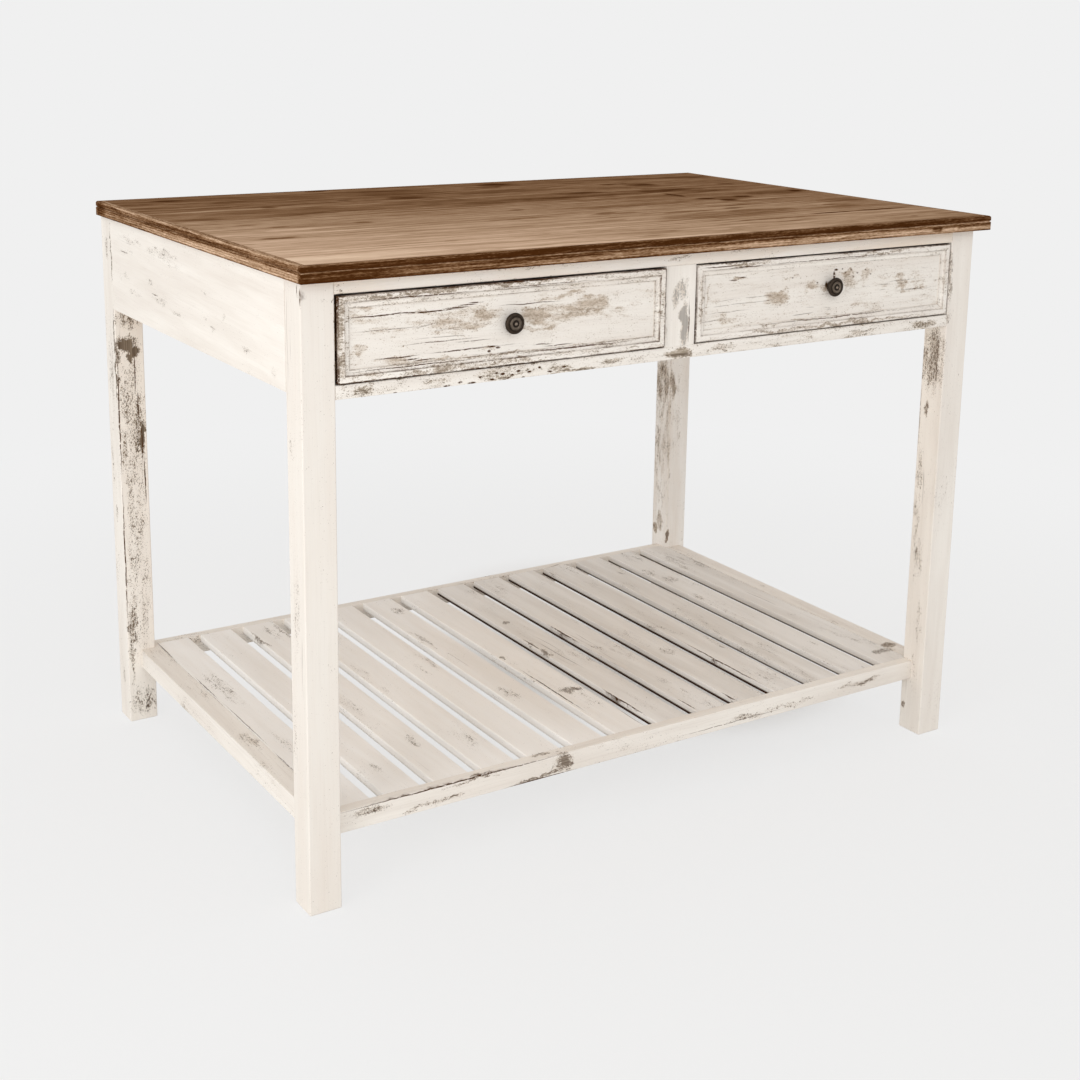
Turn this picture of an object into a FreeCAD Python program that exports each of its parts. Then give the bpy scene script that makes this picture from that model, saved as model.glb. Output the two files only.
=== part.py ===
import FreeCAD, Part
import math
import os
from FreeCAD import Vector

# Kitchen table with two drawers and a slatted shelf.
# It stands on z = 0. X runs along its length, Y from the drawer side to the back, Z up.
# The origin is on the floor, under the centre of the top. All sizes are in millimetres.

# ---- driving dimensions: the table as a whole
table_height = 900.0
top_length = 1220.0
top_depth = 810.0
top_thickness = 23.0
overhang_left = 6.0
overhang_right = 19.0
overhang_front = 18.0
overhang_back = 4.0
leg_size = 48.0

# ---- top: edge-joined boards with a narrow lipping all round
board_count = 4
lipping = 10.0
tongue_thickness = 6.0
tongue_length = 6.0
nosing_radius = 3.5
bead_depth = 1.6
bead_height = 2.6
bead_drop = 9.0

# ---- frame
apron_height = 151.0
apron_thickness = 22.0
front_rail = 19.0
bottom_rail_underside = 720.0
divider_width = 54.0
divider_centre = -4.0
divider_depth = 22.0
apron_tenon = 30.0
apron_tenon_thickness = 10.0
apron_tenon_shoulder = 13.0
rail_tenon = 20.0
rail_tenon_thickness = 11.0
rail_tenon_width = 26.0
divider_tenon = 10.0
divider_tenon_thickness = 8.0
divider_tenon_width = 34.0

# ---- drawer runners below the drawers, kickers above them
bearing_width = 20.0
guide_height = 36.0
strip_tenon = 10.0
strip_tenon_thickness = 9.0
strip_tenon_shoulder = 4.0
guide_setback = 1.0

# ---- shelf
shelf_top = 128.0
shelf_rail_height = 32.0
shelf_half_length = 580.5
shelf_front_inset = 27.0
shelf_back_inset = 15.0
shelf_long_rail = 18.0
shelf_end_rail = 33.0
slat_count = 14
slat_width = 58.0
slat_thickness = 12.0
slat_tenon = 8.0
slat_tenon_thickness = 6.0
slat_tenon_width = 44.0
long_rail_tenon = 14.0
long_rail_tenon_thickness = 9.0
end_rail_tenon = 20.0
end_rail_tenon_thickness = 8.0
shelf_tenon_height = 24.0
end_rail_tenon_margin = 1.0

# ---- drawers
drawer_gap_side = 3.0
drawer_gap_top = 2.5
drawer_gap_bottom = 2.0
drawer_length = 600.0
left_drawer_proud = 4.0
right_drawer_proud = 0.0
panel_thickness = 16.0
side_thickness = 12.0
side_clearance = 0.5
side_height = 111.0
back_setdown = 5.0
bottom_thickness = 5.0
bottom_rise = 9.5
groove_depth = 5.0
dovetail_length = 11.0
dovetail_count = 3
dovetail_tip = 25.0
dovetail_root = 20.0

# ---- applied moulding round each drawer front: a flat, a quirk, a cove and a bottom fillet
moulding_width = 17.0
moulding_height = 5.0
moulding_flat = 9.0
moulding_quirk = 0.9
moulding_cove = 5.0
moulding_fillet = 1.5
moulding_round = 0.8
cove_bulge = 0.3

# ---- drawer stops on the bottom rail
stop_height = 5.0
stop_length = 40.0
stop_depth = 20.0
stop_offset = 110.0
stop_clearance = 0.3

# ---- turned knobs: a flange, a neck and a dished head with a raised ring and a dome
knob_flange_radius = 8.5
knob_flange_thickness = 2.2
knob_neck_radius = 6.2
knob_head_radius = 14.8
knob_head_back = 7.6
knob_face = 13.8
knob_back_round = 3.0
knob_front_round = 2.9
knob_groove_ring = 10.6
knob_groove_radius = 1.1
knob_raised_ring = 7.0
knob_raised_radius = 2.2
knob_raised_centre = 12.9
knob_dome_radius = 2.6
knob_dome_centre = 14.0
knob_shift_left = 1.0
knob_shift_right = 7.0
knob_rise_left = 1.0
knob_rise_right = 6.5

# ---- screws
knob_bore_radius = 2.05
knob_bore_depth = 10.0
screw_radius = 2.0
panel_hole_radius = 2.3
screw_head_radius = 4.2
screw_head_height = 2.4
screw_head_round = 0.9
screw_end_gap = 1.0
top_screw_head_radius = 4.0
top_screw_countersink = 3.0
top_screw_bite = 12.0

# ---- softened edges
leg_round = 2.0
foot_chamfer = 1.5
frame_round = 1.2
slat_round = 2.0
drawer_round = 1.2

# ---- how far past a face a cut starts and ends, and how near an edge is to the place it is picked by
overcut = 1.0
near = 0.1

# ---- places worked out from the dimensions above
frame_left = -top_length / 2 + overhang_left
frame_right = top_length / 2 - overhang_right
frame_front = -top_depth / 2 + overhang_front
frame_back = top_depth / 2 - overhang_back
inner_left = frame_left + leg_size
inner_right = frame_right - leg_size
inner_front = frame_front + leg_size
inner_back = frame_back - leg_size
top_underside = table_height - top_thickness
opening_bottom = bottom_rail_underside + front_rail
opening_top = top_underside - front_rail
apron_bottom = top_underside - apron_height
divider_left = divider_centre - divider_width / 2
divider_right = divider_centre + divider_width / 2
apron_inner_left = frame_left + apron_thickness
apron_inner_right = frame_right - apron_thickness
apron_inner_back = frame_back - apron_thickness
board_edge = top_depth / 2 - lipping
board_width = 2 * board_edge / board_count
board_centres = [-board_edge + board_width * (n + 0.5) for n in range(board_count)]
shelf_bottom = shelf_top - shelf_rail_height
shelf_front = frame_front + shelf_front_inset
shelf_back = frame_back - shelf_back_inset
slats_front = shelf_front + shelf_long_rail
slats_back = shelf_back - shelf_long_rail
slats_left = -shelf_half_length + shelf_end_rail
slat_gap = (-2 * slats_left - slat_count * slat_width) / (slat_count - 1)


def block(x, y, z):
    """A box from three (low, high) pairs."""
    return Part.makeBox(x[1] - x[0], y[1] - y[0], z[1] - z[0], Vector(x[0], y[0], z[0]))


def middle(low, high, size):
    """The (low, high) pair of a length centred between two limits."""
    centre = (low + high) / 2
    return (centre - size / 2, centre + size / 2)


def rounded(solid, axis, radius, keep=lambda point: True):
    """Rounds the straight edges parallel to an axis whose middle point is accepted by keep."""
    edges = []
    for edge in solid.Edges:
        if len(edge.Vertexes) != 2:
            continue
        along = edge.Vertexes[1].Point - edge.Vertexes[0].Point
        if along.Length > 0 and abs(along.dot(axis)) / along.Length > 0.999:
            if keep(edge.CenterOfMass):
                edges.append(edge)
    return solid.makeFillet(radius, edges)


def prism(points, direction):
    """A straight prism on a closed polygon."""
    return Part.Face(Part.makePolygon(points + points[:1])).extrude(direction)


def cylinder(radius, length, start, direction):
    return Part.makeCylinder(radius, length, start, direction)


def cut_all(solid, others):
    for other in others:
        solid = solid.cut(other)
    return solid


def write(name, shape):
    solids = shape.Solids
    assert solids and all(s.isValid() for s in solids), name
    shape = solids[0] if len(solids) == 1 else Part.makeCompound(solids)
    shape.exportStep(os.path.join("parts", name + ".step"))


X_AXIS = Vector(1, 0, 0)
Y_AXIS = Vector(0, 1, 0)
Z_AXIS = Vector(0, 0, 1)

LEG_PLACES = {
    "leg_front_left": ((frame_left, inner_left), (frame_front, inner_front)),
    "leg_front_right": ((inner_right, frame_right), (frame_front, inner_front)),
    "leg_back_left": ((frame_left, inner_left), (inner_back, frame_back)),
    "leg_back_right": ((inner_right, frame_right), (inner_back, frame_back)),
}
LEG_SPACES = [block(x, y, (0, top_underside)) for x, y in LEG_PLACES.values()]


# ---------------------------------------------------------------- frame
def end_apron(outer, inner):
    """An end apron flush with the legs' outer faces, with a tenon into each leg."""
    x = (min(outer, inner), max(outer, inner))
    body = block(x, (inner_front, inner_back), (apron_bottom, top_underside))
    body = rounded(body, Y_AXIS, frame_round, lambda p: p.z < apron_bottom + near)
    tenon_z = (apron_bottom + apron_tenon_shoulder, top_underside - apron_tenon_shoulder)
    tenon_y = (inner_front - apron_tenon, inner_back + apron_tenon)
    return body.fuse(block(middle(*x, apron_tenon_thickness), tenon_y, tenon_z)).removeSplitter()


def back_apron():
    y = (apron_inner_back, frame_back)
    body = block((inner_left, inner_right), y, (apron_bottom, top_underside))
    body = rounded(body, X_AXIS, frame_round, lambda p: p.z < apron_bottom + near)
    tenon_z = (apron_bottom + apron_tenon_shoulder, top_underside - apron_tenon_shoulder)
    tenon_x = (inner_left - apron_tenon, inner_right + apron_tenon)
    return body.fuse(block(tenon_x, middle(*y, apron_tenon_thickness), tenon_z)).removeSplitter()


def drawer_rail(underside):
    """One of the two rails above and below the drawers, as deep as the legs."""
    z = (underside, underside + front_rail)
    y = (frame_front, inner_front)
    body = block((inner_left, inner_right), y, z)
    body = rounded(body, X_AXIS, frame_round, lambda p: p.y < frame_front + near)
    tenon_x = (inner_left - rail_tenon, inner_right + rail_tenon)
    tenon = block(tenon_x, middle(*y, rail_tenon_width), middle(*z, rail_tenon_thickness))
    return body.fuse(tenon).removeSplitter()


def divider():
    """The upright between the two drawers, tenoned into both rails."""
    x = (divider_left, divider_right)
    y = (frame_front, frame_front + divider_depth)
    body = block(x, y, (opening_bottom, opening_top))
    body = rounded(body, Z_AXIS, frame_round, lambda p: p.y < frame_front + near)
    tenon_z = (opening_bottom - divider_tenon, opening_top + divider_tenon)
    tenon = block(middle(*x, divider_tenon_width), middle(*y, divider_tenon_thickness), tenon_z)
    return body.fuse(tenon).removeSplitter()


def depth_strip(x, z, tenon_x):
    """A strip from the front rail to the back apron, tenoned into both and notched round a leg."""
    body = block(x, (inner_front, apron_inner_back), z)
    tenon_y = (inner_front - strip_tenon, apron_inner_back + strip_tenon)
    tenon = block(tenon_x, tenon_y, middle(*z, strip_tenon_thickness))
    return cut_all(body, LEG_SPACES).fuse(tenon).removeSplitter()


STRIP_PLACES = {
    "left": {
        "x": (apron_inner_left, inner_left + bearing_width),
        "tenon": (inner_left + strip_tenon_shoulder, inner_left + bearing_width - strip_tenon_shoulder),
        "guide": (apron_inner_left, inner_left),
    },
    "centre": {
        "x": (divider_left - bearing_width, divider_right + bearing_width),
        "tenon": (divider_left, divider_right),
        "guide": (divider_left + guide_setback, divider_right - guide_setback),
    },
    "right": {
        "x": (inner_right - bearing_width, apron_inner_right),
        "tenon": (inner_right - bearing_width + strip_tenon_shoulder, inner_right - strip_tenon_shoulder),
        "guide": (inner_right, apron_inner_right),
    },
}


def runner(place):
    """A bearing strip under the drawer sides, with the guide that keeps them straight."""
    strip = STRIP_PLACES[place]
    bearer = depth_strip(strip["x"], (bottom_rail_underside, opening_bottom), strip["tenon"])
    guide_z = (opening_bottom, opening_bottom + guide_height)
    guide = block(strip["guide"], (inner_front, apron_inner_back), guide_z)
    return bearer.fuse(cut_all(guide, LEG_SPACES)).removeSplitter()


def top_screws():
    """Countersunk screws up through the kickers, one for each board in each kicker."""
    screws = []
    length = front_rail + top_screw_bite
    for strip in STRIP_PLACES.values():
        for y in board_centres:
            foot = Vector(sum(strip["tenon"]) / 2, y, opening_top)
            head = Part.makeCone(
                top_screw_head_radius, screw_radius, top_screw_countersink, foot, Z_AXIS
            )
            screws.append(head.fuse(cylinder(screw_radius, length, foot, Z_AXIS)).removeSplitter())
    return screws


def kicker(place, screws):
    """The strip that stops an open drawer from tipping and holds the top down."""
    strip = STRIP_PLACES[place]
    return cut_all(depth_strip(strip["x"], (opening_top, top_underside), strip["tenon"]), screws)


def drawer_stops(openings):
    """Four small blocks on the bottom rail that the drawer fronts close against."""
    stops = []
    for opening in openings:
        front = panel_back(opening["proud"]) + stop_clearance
        for side in (-stop_offset, stop_offset):
            x = middle(opening["low"] + side, opening["high"] + side, stop_length)
            y = (front, front + stop_depth)
            stops.append(block(x, y, (opening_bottom, opening_bottom + stop_height)))
    return stops


# ---------------------------------------------------------------- top
def lipped_slab():
    """The whole top in one: rounded nosing and a fine bead line round its four edges."""
    half_length = top_length / 2
    half_depth = top_depth / 2
    slab = block((-half_length, half_length), (-half_depth, half_depth), (top_underside, table_height))
    upper = [e for e in slab.Edges if e.BoundBox.ZMin > table_height - near]
    slab = slab.makeFillet(nosing_radius, upper)
    bead_z = table_height - bead_drop
    half_bead = bead_height / 2
    for sign in (-1, 1):
        y = sign * half_depth
        points = [
            Vector(-half_length, y, bead_z - half_bead),
            Vector(-half_length, y, bead_z + half_bead),
            Vector(-half_length, y - sign * bead_depth, bead_z),
        ]
        slab = slab.cut(prism(points, Vector(top_length, 0, 0)))
        x = sign * half_length
        points = [
            Vector(x, -half_depth, bead_z - half_bead),
            Vector(x, -half_depth, bead_z + half_bead),
            Vector(x - sign * bead_depth, -half_depth, bead_z),
        ]
        slab = slab.cut(prism(points, Vector(0, top_depth, 0)))
    return slab


def top_pieces(screws):
    """Cuts the slab into its lipping strips and its tongued and grooved boards."""
    slab = lipped_slab()
    half_length = top_length / 2
    half_depth = top_depth / 2
    z = (top_underside, table_height)
    long_x = (-half_length, half_length)
    end_y = (-board_edge, board_edge)
    inner_x = (-half_length + lipping, half_length - lipping)
    pieces = {
        "top_lipping_front": slab.common(block(long_x, (-half_depth, -board_edge), z)),
        "top_lipping_back": slab.common(block(long_x, (board_edge, half_depth), z)),
        "top_lipping_left": slab.common(block((-half_length, inner_x[0]), end_y, z)),
        "top_lipping_right": slab.common(block((inner_x[1], half_length), end_y, z)),
    }
    tongue_z = middle(*z, tongue_thickness)
    tongue = None
    for number, centre in enumerate(board_centres, 1):
        y = (centre - board_width / 2, centre + board_width / 2)
        board = block(inner_x, y, z)
        if tongue:
            board = board.cut(tongue)
        tongue = None
        if number < board_count:
            tongue = block(inner_x, (y[1], y[1] + tongue_length), tongue_z)
            board = board.fuse(tongue).removeSplitter()
        pieces["top_board_%d" % number] = cut_all(board, screws)
    return pieces


# ---------------------------------------------------------------- shelf
def shelf_slats():
    """Slats along Y with a stub tenon at each end, the last one notched round the right legs."""
    slats = []
    for number in range(slat_count):
        left = slats_left + number * (slat_width + slat_gap)
        x = (left, left + slat_width)
        z = (shelf_top - slat_thickness, shelf_top)
        body = rounded(block(x, (slats_front, slats_back), z), Y_AXIS, slat_round,
                       lambda p: p.z > shelf_top - near)
        body = cut_all(body, LEG_SPACES)
        tenon = block(
            middle(*x, slat_tenon_width),
            (slats_front - slat_tenon, slats_back + slat_tenon),
            middle(*z, slat_tenon_thickness),
        )
        slats.append(body.fuse(tenon).removeSplitter())
    return slats


def shelf_long_rails(slats):
    """Front and back rails of the shelf, mortised for the slats and tenoned into the legs."""
    rails = {}
    for name, low, outer in (
        ("shelf_rail_front", shelf_front, shelf_front),
        ("shelf_rail_back", slats_back, shelf_back),
    ):
        y = (low, low + shelf_long_rail)
        z = (shelf_bottom, shelf_top)
        body = block((inner_left, inner_right), y, z)
        body = rounded(body, X_AXIS, frame_round, lambda p: abs(p.y - outer) < near)
        tenon_x = (inner_left - long_rail_tenon, inner_right + long_rail_tenon)
        tenon = block(tenon_x, middle(*y, long_rail_tenon_thickness), middle(*z, shelf_tenon_height))
        rails[name] = cut_all(body.fuse(tenon).removeSplitter(), slats)
    return rails


def shelf_end_rails():
    """End rails of the shelf, notched round the legs' inner corners and tenoned into them."""
    rails = {}
    for name, sign in (("shelf_rail_left", -1), ("shelf_rail_right", 1)):
        outer = sign * shelf_half_length
        inner = outer - sign * shelf_end_rail
        z = (shelf_bottom, shelf_top)
        body = block((min(outer, inner), max(outer, inner)), (slats_front, slats_back), z)
        body = rounded(body, Y_AXIS, frame_round, lambda p: abs(p.x - outer) < near)
        tenon_edges = sorted(
            outer - sign * step
            for step in (end_rail_tenon_margin, end_rail_tenon_margin + end_rail_tenon_thickness)
        )
        tenon_y = (inner_front - end_rail_tenon, inner_back + end_rail_tenon)
        tenon = block(tenon_edges, tenon_y, middle(*z, shelf_tenon_height))
        rails[name] = cut_all(body, LEG_SPACES).fuse(tenon).removeSplitter()
    return rails


def leg(name, housed):
    """A square leg with softened corners and a mortise for each piece that enters it."""
    x, y = LEG_PLACES[name]
    blank = rounded(block(x, y, (0, top_underside)), Z_AXIS, leg_round)
    foot = [e for e in blank.Edges if e.BoundBox.ZMax < near]
    blank = blank.makeChamfer(foot_chamfer, foot)
    return cut_all(blank, housed)


# ---------------------------------------------------------------- drawers
def field_plane(proud):
    """Y of the flat field of a drawer front, behind the face of its moulding."""
    return frame_front - proud + moulding_height


def panel_back(proud):
    return field_plane(proud) + panel_thickness


def moulding_strip(start, run, inward, outward):
    """One straight length of moulding: its profile runs inward from the edge and stands outward."""
    def at(u, v):
        return start + inward * u + outward * v

    flat, foot = moulding_flat, moulding_flat + moulding_cove
    quirk_top = moulding_height - moulding_quirk
    cove_drop = quirk_top - moulding_fillet
    cove_middle = at(flat + moulding_cove * cove_bulge, moulding_fillet + cove_drop * cove_bulge)
    half_turn = moulding_round * (1 - math.sqrt(0.5))
    arris_middle = at(half_turn, moulding_height - half_turn)
    corners = [
        (at(0, 0), at(0, moulding_height - moulding_round)),
        (at(moulding_round, moulding_height), at(flat, moulding_height)),
        (at(flat, moulding_height), at(flat, quirk_top)),
        (at(foot, moulding_fillet), at(moulding_width, moulding_fillet)),
        (at(moulding_width, moulding_fillet), at(moulding_width, 0)),
        (at(moulding_width, 0), at(0, 0)),
    ]
    edges = [Part.LineSegment(a, b).toShape() for a, b in corners]
    arris = Part.Arc(corners[0][1], arris_middle, corners[1][0]).toShape()
    cove = Part.Arc(corners[2][1], cove_middle, corners[3][0]).toShape()
    outline = [edges[0], arris, edges[1], edges[2], cove] + edges[3:]
    return Part.Face(Part.Wire(outline)).extrude(run)


def moulding(x, z, proud):
    """Four mitred strips round the edge of a drawer front."""
    y = field_plane(proud)
    outward = Vector(0, -1, 0)
    width, height = x[1] - x[0], z[1] - z[0]
    inset = moulding_width
    through = Vector(0, -2 * moulding_height, 0)
    y_mask = y + moulding_height / 2

    def mask(corners):
        return prism([Vector(px, y_mask, pz) for px, pz in corners], through)

    low_corners = [(x[0], z[0]), (x[1], z[0]), (x[1] - inset, z[0] + inset), (x[0] + inset, z[0] + inset)]
    side_corners = [(x[0], z[0]), (x[0], z[1]), (x[0] + inset, z[1] - inset), (x[0] + inset, z[0] + inset)]
    start = Vector(x[0], y, z[0])
    bottom = moulding_strip(start, X_AXIS * width, Z_AXIS, outward).common(mask(low_corners))
    left = moulding_strip(start, Z_AXIS * height, X_AXIS, outward).common(mask(side_corners))
    centre = Vector(sum(x) / 2, y, sum(z) / 2)
    return [bottom, bottom.mirror(centre, Z_AXIS), left, left.mirror(centre, X_AXIS)]


def knob(centre, y):
    """A turned knob on the drawer's field, bored at the back for its screw."""
    outward = Vector(0, -1, 0)

    def at(out):
        return Vector(centre[0], y - out, centre[1])

    head = cylinder(knob_head_radius, knob_face - knob_head_back, at(knob_head_back), outward)
    front_edge = [e for e in head.Edges if e.BoundBox.YMax < y - knob_face + near]
    head = head.makeFillet(knob_front_round, front_edge)
    back_edge = [e for e in head.Edges if e.BoundBox.YMin > y - knob_head_back - near]
    head = head.makeFillet(knob_back_round, back_edge)
    groove = Part.makeTorus(knob_groove_ring, knob_groove_radius, at(knob_face), outward)
    raised = Part.makeTorus(knob_raised_ring, knob_raised_radius, at(knob_raised_centre), outward)
    body = head.cut(groove).fuse([
        raised,
        Part.makeSphere(knob_dome_radius, at(knob_dome_centre)),
        cylinder(knob_neck_radius, knob_head_back + overcut, at(0), outward),
        cylinder(knob_flange_radius, knob_flange_thickness, at(0), outward),
    ])
    return body.removeSplitter().cut(cylinder(knob_bore_radius, knob_bore_depth, at(0), outward))


def knob_screw(centre, y):
    """The screw that holds the knob from inside the drawer."""
    seat = Vector(centre[0], y + panel_thickness, centre[1])
    head = cylinder(screw_head_radius, screw_head_height, seat, Y_AXIS)
    outer_edge = [e for e in head.Edges if e.BoundBox.YMin > seat.y + screw_head_height - near]
    head = head.makeFillet(screw_head_round, outer_edge)
    length = panel_thickness + knob_bore_depth - screw_end_gap
    return head.fuse(cylinder(screw_radius, length, seat, Vector(0, -1, 0))).removeSplitter()


def drawer_side(x, y, z, tail_x):
    """A drawer side with lapped dovetails at its front end."""
    body = block(x, (y[0], y[1]), z)
    body = rounded(body, Y_AXIS, drawer_round, lambda p: p.z > z[1] - near)
    pitch = (z[1] - z[0]) / dovetail_count
    for number in range(dovetail_count):
        centre = z[0] + pitch * (number + 0.5)
        tip = y[0] - dovetail_length
        points = [
            Vector(tail_x[0], y[0], centre - dovetail_root / 2),
            Vector(tail_x[0], tip, centre - dovetail_tip / 2),
            Vector(tail_x[0], tip, centre + dovetail_tip / 2),
            Vector(tail_x[0], y[0], centre + dovetail_root / 2),
        ]
        body = body.fuse(prism(points, Vector(tail_x[1] - tail_x[0], 0, 0)))
    return body.removeSplitter()


def drawer(prefix, opening):
    """All the pieces of one drawer, for its opening between two uprights."""
    proud = opening["proud"]
    x = (opening["low"] + drawer_gap_side, opening["high"] - drawer_gap_side)
    z = (opening_bottom + drawer_gap_bottom, opening_top - drawer_gap_top)
    field = field_plane(proud)
    inner_face = panel_back(proud)
    rear = inner_face + drawer_length
    side_z = (opening_bottom + side_clearance, opening_bottom + side_clearance + side_height)
    bottom_z = (opening_bottom + bottom_rise, opening_bottom + bottom_rise + bottom_thickness)
    inside = (x[0] + side_thickness, x[1] - side_thickness)
    grooved = (inside[0] - groove_depth, inside[1] + groove_depth)
    centre = (sum(x) / 2 + opening["knob_shift"], sum(z) / 2 + opening["knob_rise"])

    back = block(grooved, (rear - side_thickness, rear), (bottom_z[1], side_z[1] - back_setdown))
    bottom = block(grooved, (inner_face - groove_depth, rear), bottom_z)
    sides = {}
    for name, span in (("left", (x[0], inside[0])), ("right", (inside[1], x[1]))):
        side = drawer_side(span, (inner_face, rear), side_z, span)
        sides[name] = side.cut(back).cut(bottom)
    front = block(x, (field, inner_face), z)
    hole_start = Vector(centre[0], field - overcut, centre[1])
    hole_length = panel_thickness + 2 * overcut
    front = front.cut(cylinder(panel_hole_radius, hole_length, hole_start, Y_AXIS))
    front = cut_all(front, [sides["left"], sides["right"], bottom])
    return {
        prefix + "_front": front,
        prefix + "_moulding": Part.makeCompound(moulding(x, z, proud)),
        prefix + "_side_left": sides["left"],
        prefix + "_side_right": sides["right"],
        prefix + "_back": back,
        prefix + "_bottom": bottom,
        prefix + "_knob": knob(centre, field),
        prefix + "_knob_screw": knob_screw(centre, field),
    }


# ---------------------------------------------------------------- assembly
def build():
    pieces = {}
    openings = {
        "left_drawer": {
            "low": inner_left, "high": divider_left, "proud": left_drawer_proud,
            "knob_shift": knob_shift_left, "knob_rise": knob_rise_left,
        },
        "right_drawer": {
            "low": divider_right, "high": inner_right, "proud": right_drawer_proud,
            "knob_shift": knob_shift_right, "knob_rise": knob_rise_right,
        },
    }
    screws = top_screws()
    strips = {}
    for place in STRIP_PLACES:
        strips["drawer_runner_" + place] = runner(place)
        strips["drawer_kicker_" + place] = kicker(place, screws)
    centre_post = divider()
    bottom_rail = drawer_rail(bottom_rail_underside).cut(centre_post)
    top_rail = drawer_rail(opening_top).cut(centre_post)
    pieces["drawer_divider"] = centre_post
    pieces["front_rail_bottom"] = cut_all(bottom_rail, strips.values())
    pieces["front_rail_top"] = cut_all(top_rail, strips.values())
    pieces["apron_back"] = cut_all(back_apron(), strips.values())
    pieces["apron_left"] = end_apron(frame_left, apron_inner_left)
    pieces["apron_right"] = end_apron(frame_right, apron_inner_right)
    pieces.update(strips)
    slats = shelf_slats()
    pieces.update(shelf_long_rails(slats))
    pieces.update(shelf_end_rails())
    housed = [
        pieces[name]
        for name in (
            "apron_left", "apron_right", "apron_back", "front_rail_bottom", "front_rail_top",
            "shelf_rail_front", "shelf_rail_back", "shelf_rail_left", "shelf_rail_right",
        )
    ]
    for name in LEG_PLACES:
        pieces[name] = leg(name, housed)
    for number, slat in enumerate(slats, 1):
        pieces["shelf_slat_%02d" % number] = slat
    pieces.update(top_pieces(screws))
    pieces["top_screws"] = Part.makeCompound(screws)
    pieces["drawer_stops"] = Part.makeCompound(drawer_stops(openings.values()))
    for prefix, opening in openings.items():
        pieces.update(drawer(prefix, opening))
    return pieces


os.makedirs("parts", exist_ok=True)
for node, shape in build().items():
    write(node, shape)
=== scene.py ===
import bpy
import math
import random
from mathutils import Matrix, Vector


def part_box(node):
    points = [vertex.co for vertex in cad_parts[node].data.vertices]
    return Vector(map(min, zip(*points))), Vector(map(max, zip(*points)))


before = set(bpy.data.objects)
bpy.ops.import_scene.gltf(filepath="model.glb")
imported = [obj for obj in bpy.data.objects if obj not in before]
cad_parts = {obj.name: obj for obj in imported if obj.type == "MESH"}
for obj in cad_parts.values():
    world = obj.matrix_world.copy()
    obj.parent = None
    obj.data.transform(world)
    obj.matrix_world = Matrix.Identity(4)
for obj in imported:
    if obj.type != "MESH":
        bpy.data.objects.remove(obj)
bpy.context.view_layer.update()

MM = 0.001
X, Y, Z = range(3)
LOW, HIGH = range(2)
# turns that lay a piece's grain along local X
X_GRAIN, Y_GRAIN, Z_GRAIN = (0, 0, 0), (0, 0, math.pi / 2), (0, -math.pi / 2, 0)
# a mark is full out to 0.35 of its half size and has faded away at 1.25 of it
MARK_CORE, MARK_REACH = 0.35, 1.25
# settings: a map range with eased ends, and a mix of colours
SMOOTH = {"interpolation_type": "SMOOTHSTEP"}
COLOURS = {"data_type": "RGBA"}
# the middle of a noise's range, and the pale grey of the backdrop
MIDDLE = (0.5, 0.5, 0.5)
BACKGROUND = "#F0F0F0"


def linear(code):
    """An sRGB hex colour as linear RGBA."""
    channels = [int(code[i:i + 2], 16) / 255 for i in (1, 3, 5)]
    return [c / 12.92 if c <= 0.04045 else ((c + 0.055) / 1.055) ** 2.4 for c in channels] + [1.0]


def add(tree, kind, links=None, stops=None, **settings):
    """Adds a shader node. Links gives its inputs, as values, hex colours, nodes or sockets."""
    node = tree.nodes.new("ShaderNode" + kind)
    for name, value in settings.items():
        setattr(node, name, value)
    for key, value in (links or {}).items():
        named = [s for s in node.inputs if s.enabled and s.name == key]
        socket = node.inputs[key] if isinstance(key, int) else named[0]
        if isinstance(value, bpy.types.Node):
            value = next(s for s in value.outputs if s.enabled)
        if isinstance(value, bpy.types.NodeSocket):
            tree.links.new(value, socket)
        else:
            socket.default_value = linear(value) if isinstance(value, str) else value
    if stops:
        ramp = node.color_ramp.elements
        while len(ramp) < len(stops):
            ramp.new(0.5)
        for stop, (position, code) in zip(ramp, stops):
            stop.position = position
            stop.color = linear(code)
    return node


def new_group(name, inputs, outputs):
    """An empty node group, the sockets it is given and the sockets it gives back."""
    tree = bpy.data.node_groups.new(name, "ShaderNodeTree")
    for sockets, direction in ((inputs, "INPUT"), (outputs, "OUTPUT")):
        for socket, kind in sockets.items():
            tree.interface.new_socket(socket, in_out=direction, socket_type="NodeSocket" + kind)
    return tree, tree.nodes.new("NodeGroupInput").outputs, tree.nodes.new("NodeGroupOutput").inputs


# ---------------- patterns shared by the woods
def make_mark():
    """A soft ellipsoid joined to a field of marks: rubbed places, cracks, knots and stains, and lines of
    painted shade and highlight.
    """
    tree, given, out = new_group(
        "mark",
        {"Field": "Float", "Vector": "Vector", "Centre": "Vector", "Half size": "Vector",
         "Strength": "Float"},
        {"Field": "Float"},
    )
    offset = add(tree, "VectorMath", {0: given["Vector"], 1: given["Centre"]}, operation="SUBTRACT")
    ratio = add(tree, "VectorMath", {0: offset, 1: given["Half size"]}, operation="DIVIDE")
    reach = add(tree, "VectorMath", {0: ratio}, operation="LENGTH")
    fall = add(tree, "MapRange", {"Value": reach, "From Min": MARK_REACH, "From Max": MARK_CORE}, **SMOOTH)
    scaled = add(tree, "Math", {0: fall, 1: given["Strength"]}, operation="MULTIPLY")
    joined = add(tree, "Math", {0: given["Field"], 1: scaled}, operation="MAXIMUM")
    tree.links.new(joined.outputs[0], out["Field"])
    return tree


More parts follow.
